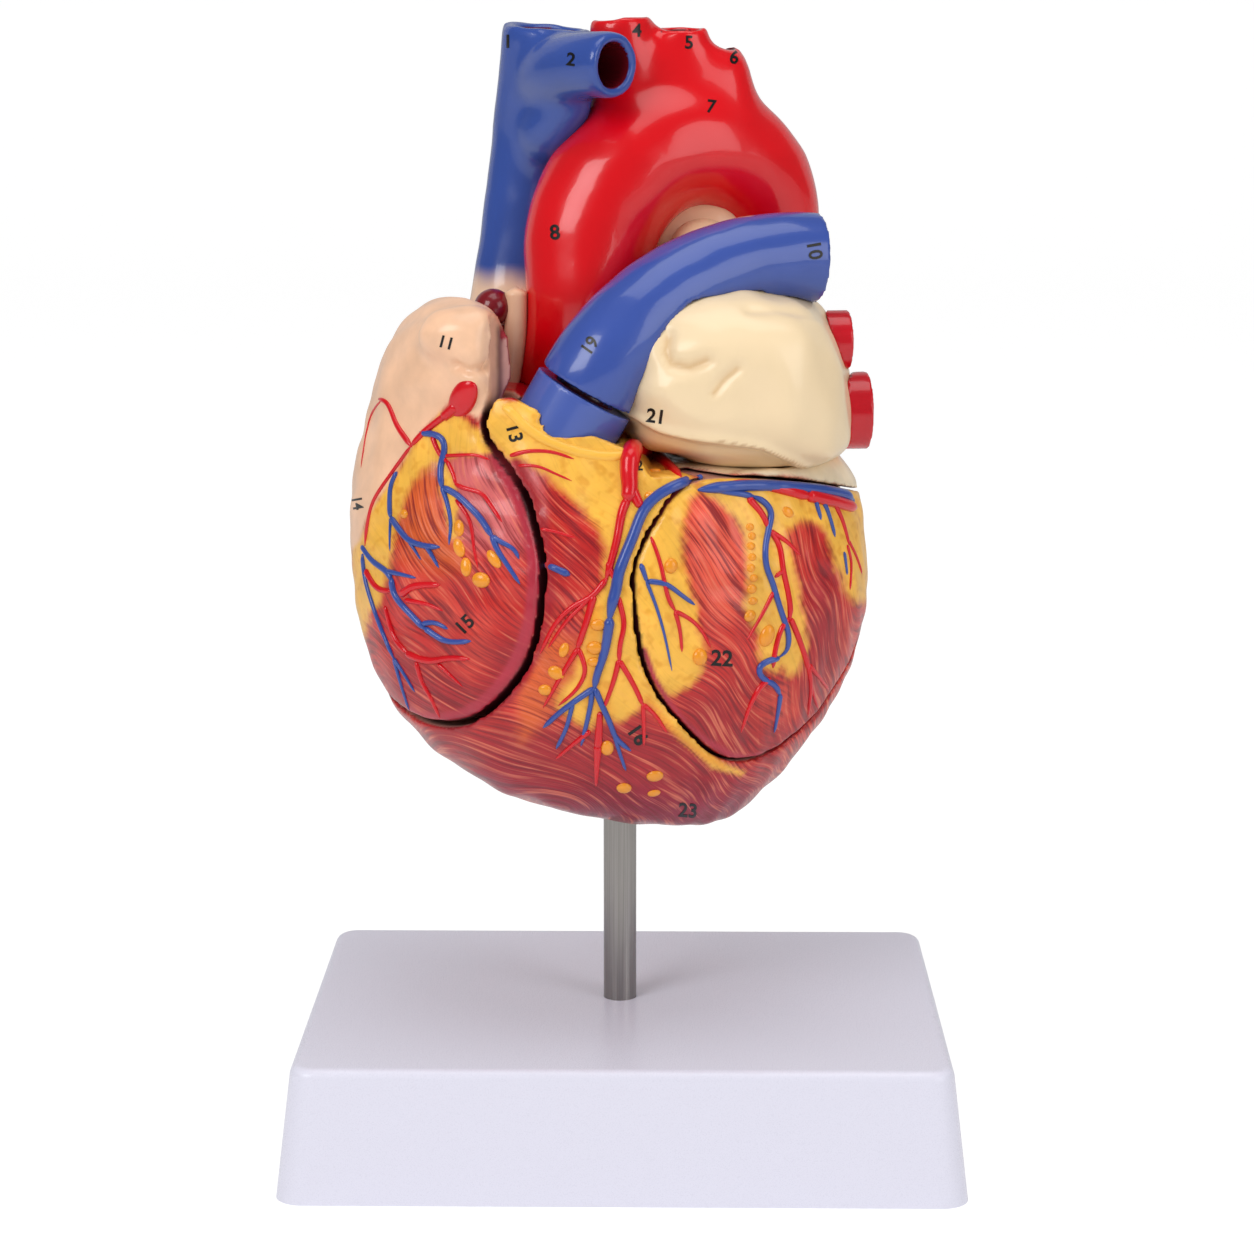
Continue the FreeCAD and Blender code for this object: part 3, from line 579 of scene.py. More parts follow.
# painted areas, as outlines of spots: colour, how far the spray fades in pixels, how much of the muscle's
# relief stays, and the outline
rightCoverZones = [
    ("muscleRose", 14, 0.8, [(440, 455), (492, 452), (512, 490), (524, 540), (512, 560), (480, 550),
        (450, 545), (440, 500)]),
    ("muscleOrange", 16, 1.0, [(395, 470), (440, 460), (445, 520), (470, 570), (440, 570), (400, 560)]),
    ("muscleDark", 18, 1.0, [(400, 650), (470, 690), (510, 640), (530, 640), (500, 700), (460, 730),
        (400, 730), (370, 680)]),
    ("fat", 5, 0.1, [(350, 545), (363, 528), (372, 505), (392, 478), (402, 460), (420, 436), (437, 424),
        (441, 440), (437, 462), (424, 470), (412, 482), (404, 500), (399, 525), (394, 540), (392, 566),
        (386, 580), (380, 605), (372, 610), (364, 640), (352, 640)]),
    ("fat", 4, 0.1, [(434, 424), (440, 412), (462, 415), (480, 428), (492, 453), (470, 456), (447, 458),
        (451, 478), (459, 500), (456, 520), (462, 537), (452, 540), (446, 512), (440, 480), (436, 450)]),
    ("cream", 3, 0.0, [(320, 560), (350, 552), (360, 540), (366, 520), (378, 499), (394, 477), (402, 462),
        (414, 442), (420, 434), (437, 416), (452, 400), (478, 420), (500, 380), (530, 380), (530, 250),
        (320, 250)]),
]
leftCoverZones = [
    ("muscleLight", 14, 1.0, [(694, 492), (722, 505), (742, 530), (746, 590), (730, 620), (700, 600),
        (684, 560), (684, 520)]),
    ("muscleDark", 20, 1.0, [(680, 700), (720, 690), (760, 740), (800, 720), (830, 690), (830, 760),
        (700, 770)]),
    ("muscleDark", 20, 1.0, [(800, 590), (830, 560), (850, 620), (830, 700), (800, 700), (806, 640)]),
    ("fat", 6, 0.1, [(690, 470), (640, 520), (625, 560), (625, 620), (640, 670), (662, 698), (690, 686),
        (703, 668), (706, 648), (700, 632), (697, 605), (688, 580), (683, 550), (684, 520), (690, 500),
        (700, 488)]),
    ("fat", 6, 0.1, [(698, 470), (760, 470), (870, 490), (880, 600), (856, 604), (845, 590), (838, 570),
        (830, 545), (818, 526), (800, 520), (786, 535), (794, 560), (800, 600), (807, 625), (807, 650),
        (799, 674), (788, 676), (782, 668), (776, 672), (768, 668), (757, 655), (760, 636), (748, 620),
        (742, 606), (748, 585), (748, 560), (744, 535), (734, 515), (720, 503), (705, 497)]),
]
coreZones = [
    ("muscleDark", 14, 1.0, [(380, 715), (470, 735), (520, 722), (560, 728), (640, 725), (700, 745),
        (760, 770), (830, 730), (860, 860), (380, 860)]),
    ("muscleDeep", 22, 1.0, [(400, 770), (520, 800), (640, 790), (760, 800), (860, 730), (860, 900),
        (400, 900)]),
    ("muscleRose", 10, 0.7, [(500, 455), (540, 456), (545, 490), (540, 530), (520, 540), (508, 480)]),
    ("muscleOrange", 10, 0.8, [(535, 625), (575, 640), (570, 690), (545, 720), (520, 745), (515, 700)]),
    ("fat", 6, 0.1, [(460, 395), (500, 380), (560, 380), (640, 400), (690, 470), (700, 500), (660, 520),
        (650, 620), (660, 690), (655, 700), (640, 706), (622, 722), (600, 716), (592, 728), (576, 722),
        (556, 708), (562, 690), (574, 676), (580, 650), (588, 620), (592, 604), (604, 580), (606, 550),
        (598, 530), (580, 506), (560, 488), (540, 470), (528, 462), (505, 458), (480, 430)]),
    ("fat", 3, 0.2, [(655, 690), (690, 730), (720, 762), (745, 772), (742, 776), (712, 768), (682, 738),
        (648, 698)]),
    ("fatDeep", 9, 0.1, [(588, 610), (602, 606), (600, 680), (612, 712), (600, 718), (584, 700)]),
    ("aortaRed", 2, 0.0, [(500, 372), (530, 366), (548, 384), (532, 392), (516, 402), (502, 400)]),
    ("creamRim", 4, 0.0, [(640, 452), (662, 462), (700, 475), (745, 474), (810, 480), (852, 494),
        (880, 500), (880, 440), (800, 430), (640, 430)]),
]

# sprayed stripes: colour, half width, fade, how much of the muscle's relief stays, and the line of spots
rightCoverBands = [
    ("rim", 7, 3, 0.1, (498, 461), (510, 482), (520, 502), (527, 521), (531, 543), (534, 566), (534, 591),
        (530, 622), (521, 651), (509, 674), (496, 691), (479, 706), (461, 716), (439, 721), (418, 718),
        (404, 712)),
]
leftCoverBands = [
    ("rim", 3, 2, 0.1, (644, 650), (654, 678), (670, 704), (688, 726), (702, 738), (717, 747), (732, 755),
        (748, 758), (768, 755), (789, 744), (806, 734)),
]
coreBands = [
    ("muscleDark", 5, 4, 0.4, (517, 462), (527, 482), (537, 502), (543, 521), (547, 543), (550, 566),
        (550, 591), (546, 622), (537, 653), (524, 678), (508, 698), (490, 714), (466, 728), (439, 733)),
    ("fatDeep", 3, 3, 0.3, (648, 698), (662, 718), (684, 740), (704, 756), (722, 765)),
]

# the muscle strands lie on circles round these far centres, and pass from one set to the other between
# two spots
rightCoverFibres = {"centres": ((700, 410), (650, 400)), "from": (400, 560), "to": (400, 700)}
leftCoverFibres = {"centres": ((1910, -320), (151, 782)), "from": (756, 600), "to": (796, 600)}
coreFibres = {"centres": ((1660, -465), (441, 1081)), "from": (540, 630), "to": (560, 710)}


def acrossFibres(spots, fibres):
    # distance from each of two centres, and how far the spot lies from the first set to the second
    rings = [np.linalg.norm(spots - np.array(centre), axis=1) for centre in fibres["centres"]]
    start = np.array(fibres["from"], float)
    way = np.array(fibres["to"], float) - start
    share = np.clip(((spots - start) @ way) / (way @ way), 0, 1)
    return np.stack([rings[0], rings[1], share], axis=1)


# behind, in millimetres on the heart: a ring of fat at its height, which falls with x, a groove of fat that
# leans to the tip, and the cream atria above
backPlan = {"ringHeight": 103, "ringFall": 0.08, "ring": (5, 9), "grooveX": -14, "grooveLean": 0.16,
            "groove": (4, 8), "grooveTop": (100, 104), "cream": (108, 113), "wobble": 2.5,
            "wobbleSize": 18 * mm}


def backPaint(points, paint, muscle):
    h = (points[:, 2] - heartBottom) / mm
    x = points[:, 0] / mm
    wobble = ripple(points, backPlan["wobbleSize"], 31) * backPlan["wobble"]
    level = h + backPlan["ringFall"] * x + wobble
    ring = 1 - smoothStep(*backPlan["ring"], np.abs(level - backPlan["ringHeight"]))
    lean = x - backPlan["grooveX"] - backPlan["grooveLean"] * h + wobble
    groove = 1 - smoothStep(*backPlan["groove"], np.abs(lean))
    groove *= 1 - smoothStep(*backPlan["grooveTop"], h)
    above = smoothStep(*backPlan["cream"], level)
    for share, colour, keep in ((np.maximum(ring, groove), "fat", 0.1), (above, "cream", 0.0)):
        paint = blend(paint, share, colours[colour])
        muscle = muscle * (1 - share * (1 - keep))
    return paint, muscle


def depthUnder(points, skin):
    # how far each wall point lies from the nearest point of the skin
    tree = KDTree(int(skin.sum()))
    for i, point in enumerate(points[skin > 0]):
        tree.insert(point, i)
    tree.balance()
    return np.array([0.0 if s else tree.find(Vector(p))[2] for p, s in zip(points, skin)])


# the walls: in a narrow seam close to the skin a near black painted shadow stands for the dark of the gap,
# less on walls that face up. Deeper, the flat seats are bare pink vinyl, found by the ways they face, and
# the chambers are red. Round the atria's edges the walls are a shaded cream, the atria's cream with painted
# shade.
# Depths under the skin and heights are in millimetres, and open air is a share
wallPlan = {"seats": [(-0.7317, -0.6816, 0), (0.6712, -0.7413, 0), (0, 0, 1)], "flat": (0.9, 0.98),
            "narrow": (0.1, 0.2), "dark": (4.5, 9), "upward": (0.5, 0.8), "upwardLess": 0.85,
            "atriaAbove": (224, 230), "creamDepth": (3, 7)}


def wallColours(points, normals, openness, depth):
    paint = np.tile(hexColour(colours["lining"]), (len(points), 1))
    flat = smoothStep(*wallPlan["flat"], np.abs(normals @ np.array(wallPlan["seats"]).T).max(axis=1))
    paint = blend(paint, flat, colours["cut"])
    # painted shadow: near black in a narrow seam close to the skin, where the gap is dark, less on upward
    # walls
    narrow = 1 - smoothStep(*wallPlan["narrow"], openness)
    narrow *= 1 - smoothStep(*wallPlan["dark"], depth / mm)
    narrow *= 1 - wallPlan["upwardLess"] * smoothStep(*wallPlan["upward"], normals[:, 2])
    paint = blend(paint, narrow, colours["seamShadow"])
    # painted shade: above the atria's height the walls near the skin take the shaded cream
    high = smoothStep(*wallPlan["atriaAbove"], points[:, 2] / mm)
    return blend(paint, high * (1 - smoothStep(*wallPlan["creamDepth"], depth / mm)), colours["creamShade"])


# the spray: outlines are ragged by ripples (size, seeds and reach in pixels), patches of another tone have
# a size, seed, start, end and strength, and the strands bend by ripples too. Front says how far round the
# side the front's colours go. The spray reaches a little way onto the seams' walls, and further to the right
# of the plan's spread
sprayPlan = {"ragged": ((9 * mm, 5, 6, 1.5), (3 * mm, 15, 16, 1.0)),
             "patches": (("muscleLight", 20 * mm, 7, -0.3, 1.4, 0.55),
                         ("muscleDark", 24 * mm, 8, -0.2, 1.4, 0.45)),
             "bend": (26 * mm, 21, 22, 5), "front": (-0.35, 0.0), "sharp": 3, "edge": 0.25, "reach": 1.6,
             "reachWidth": 20, "threshold": 0.2}


def twoRipples(points, size, first, second, height):
    return np.stack([ripple(points, size, first), ripple(points, size, second)], axis=1) * height


def paintHeart(mesh, openness, plan):
    points = pointsOf(mesh)
    normals = normalsOf(mesh)
    spots = toView(points)
    skin = (openness >= 1).astype(float)
    ragged = spots + sum(twoRipples(points, *row) for row in sprayPlan["ragged"])
    paint = np.tile(hexColour(colours["muscle"]), (len(points), 1))
    for colour, size, seed, start, end, strength in sprayPlan["patches"]:
        paint = blend(paint, smoothStep(start, end, ripple(points, size, seed)) * strength, colours[colour])
    muscle = np.ones(len(points))
    fat = np.zeros(len(points))
    backColours, backMuscle = backPaint(points, paint, muscle)
    areas = []
    for colour, soft, keep, outline in plan["zones"]:
        share = insideOutline(ragged if soft > sprayPlan["sharp"] else spots, outline, soft)
        areas.append((colour, keep, share, colour.startswith("fat")))
    for colour, width, soft, keep, *route in plan["bands"]:
        areas.append((colour, keep, besideLine(spots, route, width, soft), False))
    for colour, keep, share, specked in areas:
        paint = blend(paint, share, colours[colour])
        muscle = muscle * (1 - share * (1 - keep))
        fat = fat * (1 - share) + share * specked
    front = smoothStep(*sprayPlan["front"], np.einsum("ij,ij->i", normals, towardsEye(points)))
    paint = backColours + front[:, None] * (paint - backColours)
    muscle = backMuscle + front * (muscle - backMuscle)
    walls = wallColours(points, normals, openness, depthUnder(points, skin))
    edges = edgesOf(mesh)
    blurred = neighbourMean(skin, edges, neighbourCount(edges, len(skin)))
    beyond = smoothStep(-sprayPlan["reachWidth"], sprayPlan["reachWidth"], spots[:, 0] - plan["spread"])
    onWall = np.clip(blurred * (1 + sprayPlan["reach"] * beyond) - sprayPlan["threshold"], 0, 1)
    sprayed = np.maximum(skin * np.minimum(blurred + sprayPlan["edge"], 1), onWall)
    paintAttribute(mesh, walls + sprayed[:, None] * (paint - walls))
    attribute(mesh, "fibre", "FLOAT_VECTOR",
              acrossFibres(spots + twoRipples(points, *sprayPlan["bend"]), plan["fibres"]))
    attribute(mesh, "muscle", "FLOAT", muscle * skin)
    attribute(mesh, "fat", "FLOAT", fat * skin * front)


# the auricle's blunt end draws back to the left, more the nearer to its tip: where that starts and is full
# across and down the view, where it fades again, and by how much
slimPlan = {"across": (478, 528), "down": (285, 300), "fade": (396, 425), "draw": 4.6 * mm}


def slimAuricle(mesh):
    points = pointsOf(mesh)
    x, y = toView(points).T
    share = smoothStep(*slimPlan["across"], x) * smoothStep(*slimPlan["down"], y)
    share *= 1 - smoothStep(*slimPlan["fade"], y)
    setPoints(mesh, points - share[:, None] * np.array((slimPlan["draw"], 0, 0)))


# the auricle's relief, as the swells and ridges below
auricleSwells = [
    (492, 330, 20, 13, 20, 1.6), (470, 352, 18, 12, 0, 0.8), (440, 330, 40, 30, 0, 0.6),
]
auricleRidges = [(5.0, -2.0, (509, 352), (498, 362), (484, 369), (470, 371), (456, 366)),
                 (4.0, -0.8, (496, 312), (488, 322), (486, 332))]
# the heart's castings: voxel is the net's mesh width, rounds how much the edges are rounded, lump the height
# of the modeller's lumps, and soft an outline in which the surface is smoothed, and how often
castings = {
    "heart_core": {"voxel": 1.05 * mm, "rounds": 5, "body": "core", "zones": coreZones, "bands": coreBands,
                   "fibres": coreFibres, "lump": 0.25 * mm, "spread": 595,
                   "softOutline": [(460, 270), (530, 270), (530, 330), (460, 330)], "softRounds": 10},
    "right_heart_cover": {"voxel": 0.9 * mm, "rounds": 16, "body": "right_cover", "zones": rightCoverZones,
                          "bands": rightCoverBands, "fibres": rightCoverFibres, "lump": 0.3 * mm,
                          "spread": 9999, "swells": auricleSwells, "ridges": auricleRidges,
                          "softOutline": [(340, 280), (470, 280), (540, 300), (540, 350), (500, 385),
                                          (480, 420), (400, 440), (340, 440)], "softRounds": 60},
    "left_ventricle_cover": {"voxel": 0.8 * mm, "rounds": 4, "body": "left_cover", "zones": leftCoverZones,
                             "bands": leftCoverBands, "fibres": leftCoverFibres, "lump": 0.25 * mm,
                             "spread": 0},
}
softEdge = 8
heartTree = treeOf([nodes[name].data for name in castings])
# the painted meshes, under the body's name for the heart's castings and the node's for the vessels
surfaces = {}
for nodeName, plan in castings.items():
    mesh = fineCopy(nodeName, plan["voxel"])
    if nodeName == "right_heart_cover":
        slimAuricle(mesh)
    openness = openAir(pointsOf(mesh), normalsOf(mesh), heartTree)
    skin = (openness >= 1).astype(float)
    if "softOutline" in plan:
        near = insideOutline(toView(pointsOf(mesh)), plan["softOutline"], softEdge)
        soften(mesh, near * skin, plan["softRounds"])
    roundEdges(mesh, skin, plan["rounds"])
    sculpt(mesh, nodeName, skin, plan)
    paintHeart(mesh, openness, plan)
    addPiece(nodeName + "_painted", mesh, plan["body"], finishes["heart"], (nodeName,))
    surfaces[plan["body"]] = mesh
    print(nodeName, "painted,", len(mesh.polygons), "faces")

# the atrium's modelled relief. Swells: spot, half sizes, turn and height in millimetres. Ridges: half width,
# height in millimetres and the line. Lines: colour, half width, fade and the line
atriumSwells = [
    (650, 335, 16, 32, 15, 2.2), (655, 390, 30, 15, 0, 1.8), (700, 405, 26, 16, 20, 1.4),
    (735, 335, 60, 26, 5, 1.2), (790, 400, 30, 50, 0, 1.0), (835, 455, 14, 10, 0, 0.8),
]
atriumRidges = [
    (3.2, 1.7, (618, 404), (630, 412), (645, 423), (662, 431), (690, 437), (715, 439), (740, 443),
        (762, 447), (785, 457), (806, 467), (830, 471), (848, 470)),
    (4.0, -1.3, (632, 422), (647, 432), (664, 439), (690, 445), (715, 447), (740, 451), (762, 455),
        (785, 464)),
    (6.0, -2.0, (668, 336), (666, 352), (672, 364), (690, 367), (708, 360)),
    (4.5, -1.6, (739, 367), (725, 379), (712, 395)),
    (5.0, -0.7, (822, 316), (800, 312), (775, 308), (750, 311)),
]
# the first, second and fourth lines are tan painted shade along the grooves and under the rim's ridge; the
# thin brown third line on the rim is the atrium's own paint
atriumLinesAndGrooveShade = [
    ("#dcb27c", 3, 4, (668, 340), (666, 352), (672, 364), (690, 367), (706, 361)),
    ("#dcb27c", 2, 3, (737, 369), (725, 379), (714, 393)),
    ("#b98452", 0.7, 0.6, (690, 439), (715, 441), (740, 445), (762, 449), (785, 459), (806, 469)),
    ("#e2b984", 6, 6, (634, 426), (664, 442), (715, 450), (762, 458), (800, 470)),
]
lineStrength = 0.7
# the vessels: soft is how often the skin is smoothed from softAbove up, and less from keepAbove up. After is
# how often once more at the end, mouths are bores at x and y of a radius in millimetres, painted the dark
# inside colour from mouthsAbove up, which on the crown that plugs a bore is painted shade for its depth,
# and foot is a colour that the blue thins out to
vesselNodes = {
    "aorta": {"voxel": 1.0 * mm, "slot": "artery_red", "outside": "#e00212", "inside": "#6d0f18",
              "rounds": 8, "lump": 0.15 * mm, "lumpSize": 20 * mm, "soft": 90, "softAbove": 294 * mm,
              "keepAbove": 326 * mm, "mouths": ((-1.5, 12, 6.6), (16.5, 15, 5.5), (28, 20, 4.6)),
              "mouthsAbove": 318 * mm},
    "superior_vena_cava": {"voxel": 0.8 * mm, "slot": "vein_blue", "outside": "#34509f", "inside": "#6e101c",
                           "rounds": 8, "lump": 0.15 * mm, "lumpSize": 18 * mm, "soft": 45,
                           "softAbove": 280 * mm, "foot": "#f3cfae"},
    "pulmonary_trunk": {"voxel": 0.8 * mm, "slot": "vein_blue", "outside": "#3c55a6", "inside": "#6a2a3c",
                        "rounds": 8, "lump": 0.1 * mm, "lumpSize": 18 * mm},
    "pulmonary_stump": {"voxel": 0.6 * mm, "slot": "vein_blue", "outside": "#4a60ae", "inside": "#6a2a3c",
                        "rounds": 5, "body": "core"},
    "inferior_vena_cava": {"voxel": 0.7 * mm, "slot": "vein_blue", "outside": "#34509f", "inside": "#6e101c",
                           "rounds": 6, "body": "core"},
    "left_atrium": {"voxel": 0.9 * mm, "slot": "atrium_cream", "outside": "#f7ddb4", "inside": "#d88f86",
                    "rounds": 8, "lump": 0.35 * mm, "lumpSize": 18 * mm, "soft": 26, "softAbove": 150 * mm,
                    "after": 4, "swells": atriumSwells, "ridges": atriumRidges, "lines": atriumLinesAndGrooveShade,
                    "finish": "atriumSemiGlossEnamel"},
}
for side in ("left", "right"):
    vesselNodes[side + "_pulmonary_veins"] = {"voxel": 0.6 * mm, "slot": "artery_red", "outside": "#cf0a20",
                                              "inside": "#5d0c16", "rounds": 6}
# the arch's crown from its foot up: centre, half length, drop at its right end and half depth, in
# millimetres on the heart
crown = {"levels": ((16, 16.5, 197, 31, 0, 15), (15.5, 16, 212, 25.5, 3, 12.5),
                    (14, 15, 231, 22.5, 4.5, 7.5)),
         "rings": 24, "sides": 60}
# shapes that grow out of a casting: x, y, height on the heart and radius along each, in millimetres
webStep = 1.2
webs = {
    "superior_vena_cava": [(-27, 23, 203, 8), (-22, 15, 205, 10), (-17.5, 8, 210, 8), (-12, 0, 214, 3.5)],
    "pulmonary_trunk": [(22, -10, 164, 9.5), (25, 0, 168, 10), (15, 33, 171, 10), (2, 38, 168, 8)],
}


def crownShape():
    # stacked ovals: half length times cosine, half depth times sine, and height less drop times cosine
    levels = np.array(crown["levels"], float)
    share = np.linspace(0, 1, crown["rings"])
    known = np.linspace(0, 1, len(levels))
    x, y, z, half, drop, deep = [np.interp(share, known, column)[:, None] for column in levels.T]
    angle = np.linspace(0, 2 * np.pi, crown["sides"], endpoint=False)
    rings = np.stack([x + half * np.cos(angle), y + deep * np.sin(angle), z - drop * np.cos(angle)], axis=-1)
    ends = np.concatenate([x, y, z], axis=1)[[0, -1]]
    points = np.concatenate([rings.reshape(-1, 3), ends]) * mm
    return points + (0, 0, heartBottom), closedRings(crown["rings"], crown["sides"])


def webShape(rows):
    curve = smoothRoute(rows, webStep)
    line = curve[:, :3] * mm + (0, 0, heartBottom)
    return tubeAlong(line, np.tile((0.0, 0.0, 1.0), (len(line), 1)), curve[:, 3] * mm, 0, sides=32)


addedShapes = {name: webShape(rows) for name, rows in webs.items()}
addedShapes["aorta"] = crownShape()
# behind the arch, from its depth on, the trunk's branch is cream, with a red edge along its top
behindArch = {"depth": -11 * mm, "fade": 3 * mm, "cream": "#efd9b0", "red": "#c00f20",
              "outline": [(640, 260), (655, 225), (690, 205), (750, 200), (755, 240), (700, 260)],
              "outlineSoft": 3, "edge": [(680, 222), (692, 213), (712, 209), (745, 208)], "edgeWidth": 4,
              "edgeSoft": 1.5}
# the cava's foot, in millimetres up: where its colour ends, and the ripples of that line
footPlan = {"fade": (255, 263), "wobbleSize": 15 * mm, "wobble": 1.2}


def paintVessel(mesh, skin, plan):
    points = pointsOf(mesh)
    spots = toView(points)
    outside = np.tile(hexColour(plan["outside"]), (len(points), 1))
    if "foot" in plan:
        z = points[:, 2] / mm + ripple(points, footPlan["wobbleSize"], 41) * footPlan["wobble"]
        outside = blend(outside, 1 - smoothStep(*footPlan["fade"], z), plan["foot"])
    if "cream" in plan:
        behind = smoothStep(0, plan["fade"], points[:, 1] - plan["depth"])
        cream = insideOutline(spots, plan["outline"], plan["outlineSoft"])
        red = besideLine(spots, plan["edge"], plan["edgeWidth"], plan["edgeSoft"])
        outside = blend(blend(outside, cream * behind, plan["cream"]), red * behind, plan["red"])
    # lines of paint, among them the atrium's painted shade along its grooves
    for code, width, soft, *route in plan.get("lines", ()):
        outside = blend(outside, besideLine(spots, route, width, soft) * lineStrength, code)
    # the mouths take the inside colour: the bore's dark red, and where the crown fills the bore, painted
    # shade for the open bore's depth
    for x, y, radius in plan.get("mouths", ()):
        near = np.linalg.norm(points[:, :2] - np.array((x, y)) * mm, axis=1) < radius * mm
        skin = skin * (1 - near * (points[:, 2] > plan["mouthsAbove"]))
    inside = hexColour(plan["inside"])
    paintAttribute(mesh, inside + skin[:, None] * (outside - inside))


def softenFrom(mesh, skin, plan, rise=8 * mm, keepRise=5 * mm, keep=0.8):
    # the skin is smoothed more and more over the rise from softAbove, and kept again from keepAbove
    z = pointsOf(mesh)[:, 2]
    weight = skin * smoothStep(0, rise, z - plan["softAbove"])
    if "keepAbove" in plan:
        weight *= 1 - keep * smoothStep(0, keepRise, z - plan["keepAbove"])
    soften(mesh, weight, plan["soft"])


afterWeight = 0.7
vesselNodes["pulmonary_trunk"].update(behindArch)
for nodeName, plan in vesselNodes.items():
    mesh = fineCopy(nodeName, plan["voxel"], addedShapes.get(nodeName))
    skin = (openAir(pointsOf(mesh), normalsOf(mesh), treeOf([nodes[nodeName].data])) >= 1).astype(float)
    if "soft" in plan:
        softenFrom(mesh, skin, plan)
    roundEdges(mesh, skin, plan["rounds"])
    sculpt(mesh, nodeName, skin, plan)
    soften(mesh, skin * afterWeight, plan.get("after", 0))
    paintVessel(mesh, skin, plan)
    finish = finishes[plan.get("finish", "vesselGlossEnamel")]
    body = plan.get("body", "great_vessels")
    addPiece(nodeName + "_painted", mesh, body, finish, (nodeName,))
    surfaces[nodeName] = mesh
    print(nodeName, "painted,", len(mesh.polygons), "faces")

# what one pixel of the view spans at the heart's front, and how far the rays run
pixel = 0.28 * mm
rayLength = 1.4
# a vessel's tube: steps along its route in pixels in front and in millimetres behind, rounds of smoothing
# for its line and its normals, the shares of its length over which its tip and its start taper, and the
# fewest landings that make one
tubePlan = {"frontStep": 2.2, "backStep": 0.55, "lineRounds": 6, "normalRounds": 10, "tip": 0.12,
            "tipLeast": 0.04, "start": 0.05, "startLeast": 0.25, "fewest": 4}


def landings(tree, starts, ways, length=rayLength):
    # where the rays meet the casting, and the way out of it there. A ray that misses is left out
    found = []
    for start, way in zip(starts, ways):
        place, normal, _, _ = tree.ray_cast(Vector(start), Vector(way), length)
        if place is not None:
            found.append((*place, *normal))
    return np.array(found)


def landOn(tree, spots):
    return landings(tree, [eye] * len(spots), [lineOfSight(spot) for spot in spots])


def landFromBehind(tree, spots, behind=0.3):
    # the spots are x and height on the heart in millimetres
    starts = [(x * mm, behind, heartBottom + h * mm) for x, h in spots]
    return landings(tree, starts, [(0, -1, 0)] * len(spots), 2 * behind)


def relax(values, rounds):
    # running average along a line with its ends kept
    for _ in range(rounds):
        values = np.concatenate([values[:1], (values[:-2] + 2 * values[1:-1] + values[2:]) / 4, values[-1:]])
    return values


def vesselNet(tree, routes, proud, behind=False):
    # every route is a tapered tube half sunk in the casting
    shapes = []
    for wide, narrow, *route in routes:
        if behind:
            ground = landFromBehind(tree, smoothRoute(route, tubePlan["backStep"]))
        else:
            ground = landOn(tree, smoothRoute(route, tubePlan["frontStep"]))
        if len(ground) < tubePlan["fewest"]:
            continue
        line = relax(ground[:, :3], tubePlan["lineRounds"])
        normals = relax(ground[:, 3:], tubePlan["normalRounds"])
        normals /= np.linalg.norm(normals, axis=1)[:, None]
        share = np.linspace(0, 1, len(line))
        tip = np.sqrt(np.clip((1 - share) / tubePlan["tip"], tubePlan["tipLeast"], 1))
        start = np.sqrt(np.clip(share / tubePlan["start"], tubePlan["startLeast"], 1))
        radii = (wide + (narrow - wide) * share) / 2 * pixel * tip * start
        shapes.append(tubeAlong(line, normals, radii, proud))
    return joined(shapes)


# each vessel: its width in pixels at the start and at the end, then the spots it runs through
coreVeins = [
    (11, 12, (700, 477), (684, 482), (668, 489), (652, 500), (641, 515), (633, 536), (626, 553),
        (619, 572), (616, 589), (612, 604), (609, 622)),
    (11, 7, (610, 618), (605, 650), (597, 675), (594, 690)),
    (7, 5, (594, 688), (575, 701), (558, 714), (543, 728)),
    (5, 4, (573, 703), (566, 729), (556, 749)),
    (6, 4, (592, 690), (591, 703), (586, 726), (581, 746)),
    (7, 5, (595, 688), (601, 703), (610, 723), (616, 738), (631, 751)),
    (5, 3, (614, 733), (618, 748), (626, 771)),
    (6, 8, (538, 561), (552, 567), (570, 575)),
]
coreArteries = [
    (22, 15, (634, 446), (630, 458), (629, 474), (630, 488), (627, 503)),
    (14, 9, (630, 486), (641, 508)),
    (20, 9, (636, 448), (652, 452), (666, 464), (681, 477)),
    (10, 7, (628, 498), (622, 512), (617, 539), (611, 562), (606, 580)),
    (7, 4, (607, 578), (592, 596), (572, 607), (556, 623), (547, 639), (540, 654)),
    (5, 3, (590, 598), (566, 622), (548, 648)),
    (8, 6, (594, 595), (586, 623), (577, 650)),
    (6, 3, (578, 648), (561, 676), (550, 696), (543, 708)),
    (6, 3, (578, 648), (583, 660), (585, 673), (576, 690), (558, 706)),
    (7, 5, (608, 562), (611, 572), (619, 585)),
    (6, 5, (618, 596), (624, 623), (620, 645), (619, 663)),
    (6, 4, (619, 660), (613, 683), (604, 708)),
    (6, 5, (619, 660), (631, 680), (639, 696), (643, 706)),
    (5, 3, (643, 704), (644, 726), (644, 746)),
    (5, 3, (643, 704), (656, 716), (667, 733)),
    (6, 9, (600, 712), (598, 749)),
    (9, 3, (598, 745), (597, 765), (596, 787)),
    (6, 3, (590, 731), (571, 746), (556, 759)),
    (5, 3, (501, 459), (516, 454), (530, 451), (552, 452), (574, 459)),
    (4, 2, (508, 466), (536, 466), (556, 474), (572, 481)),
    (4, 3, (541, 529), (556, 532), (575, 538)),
    (4, 3, (536, 520), (528, 536), (521, 548)),
]
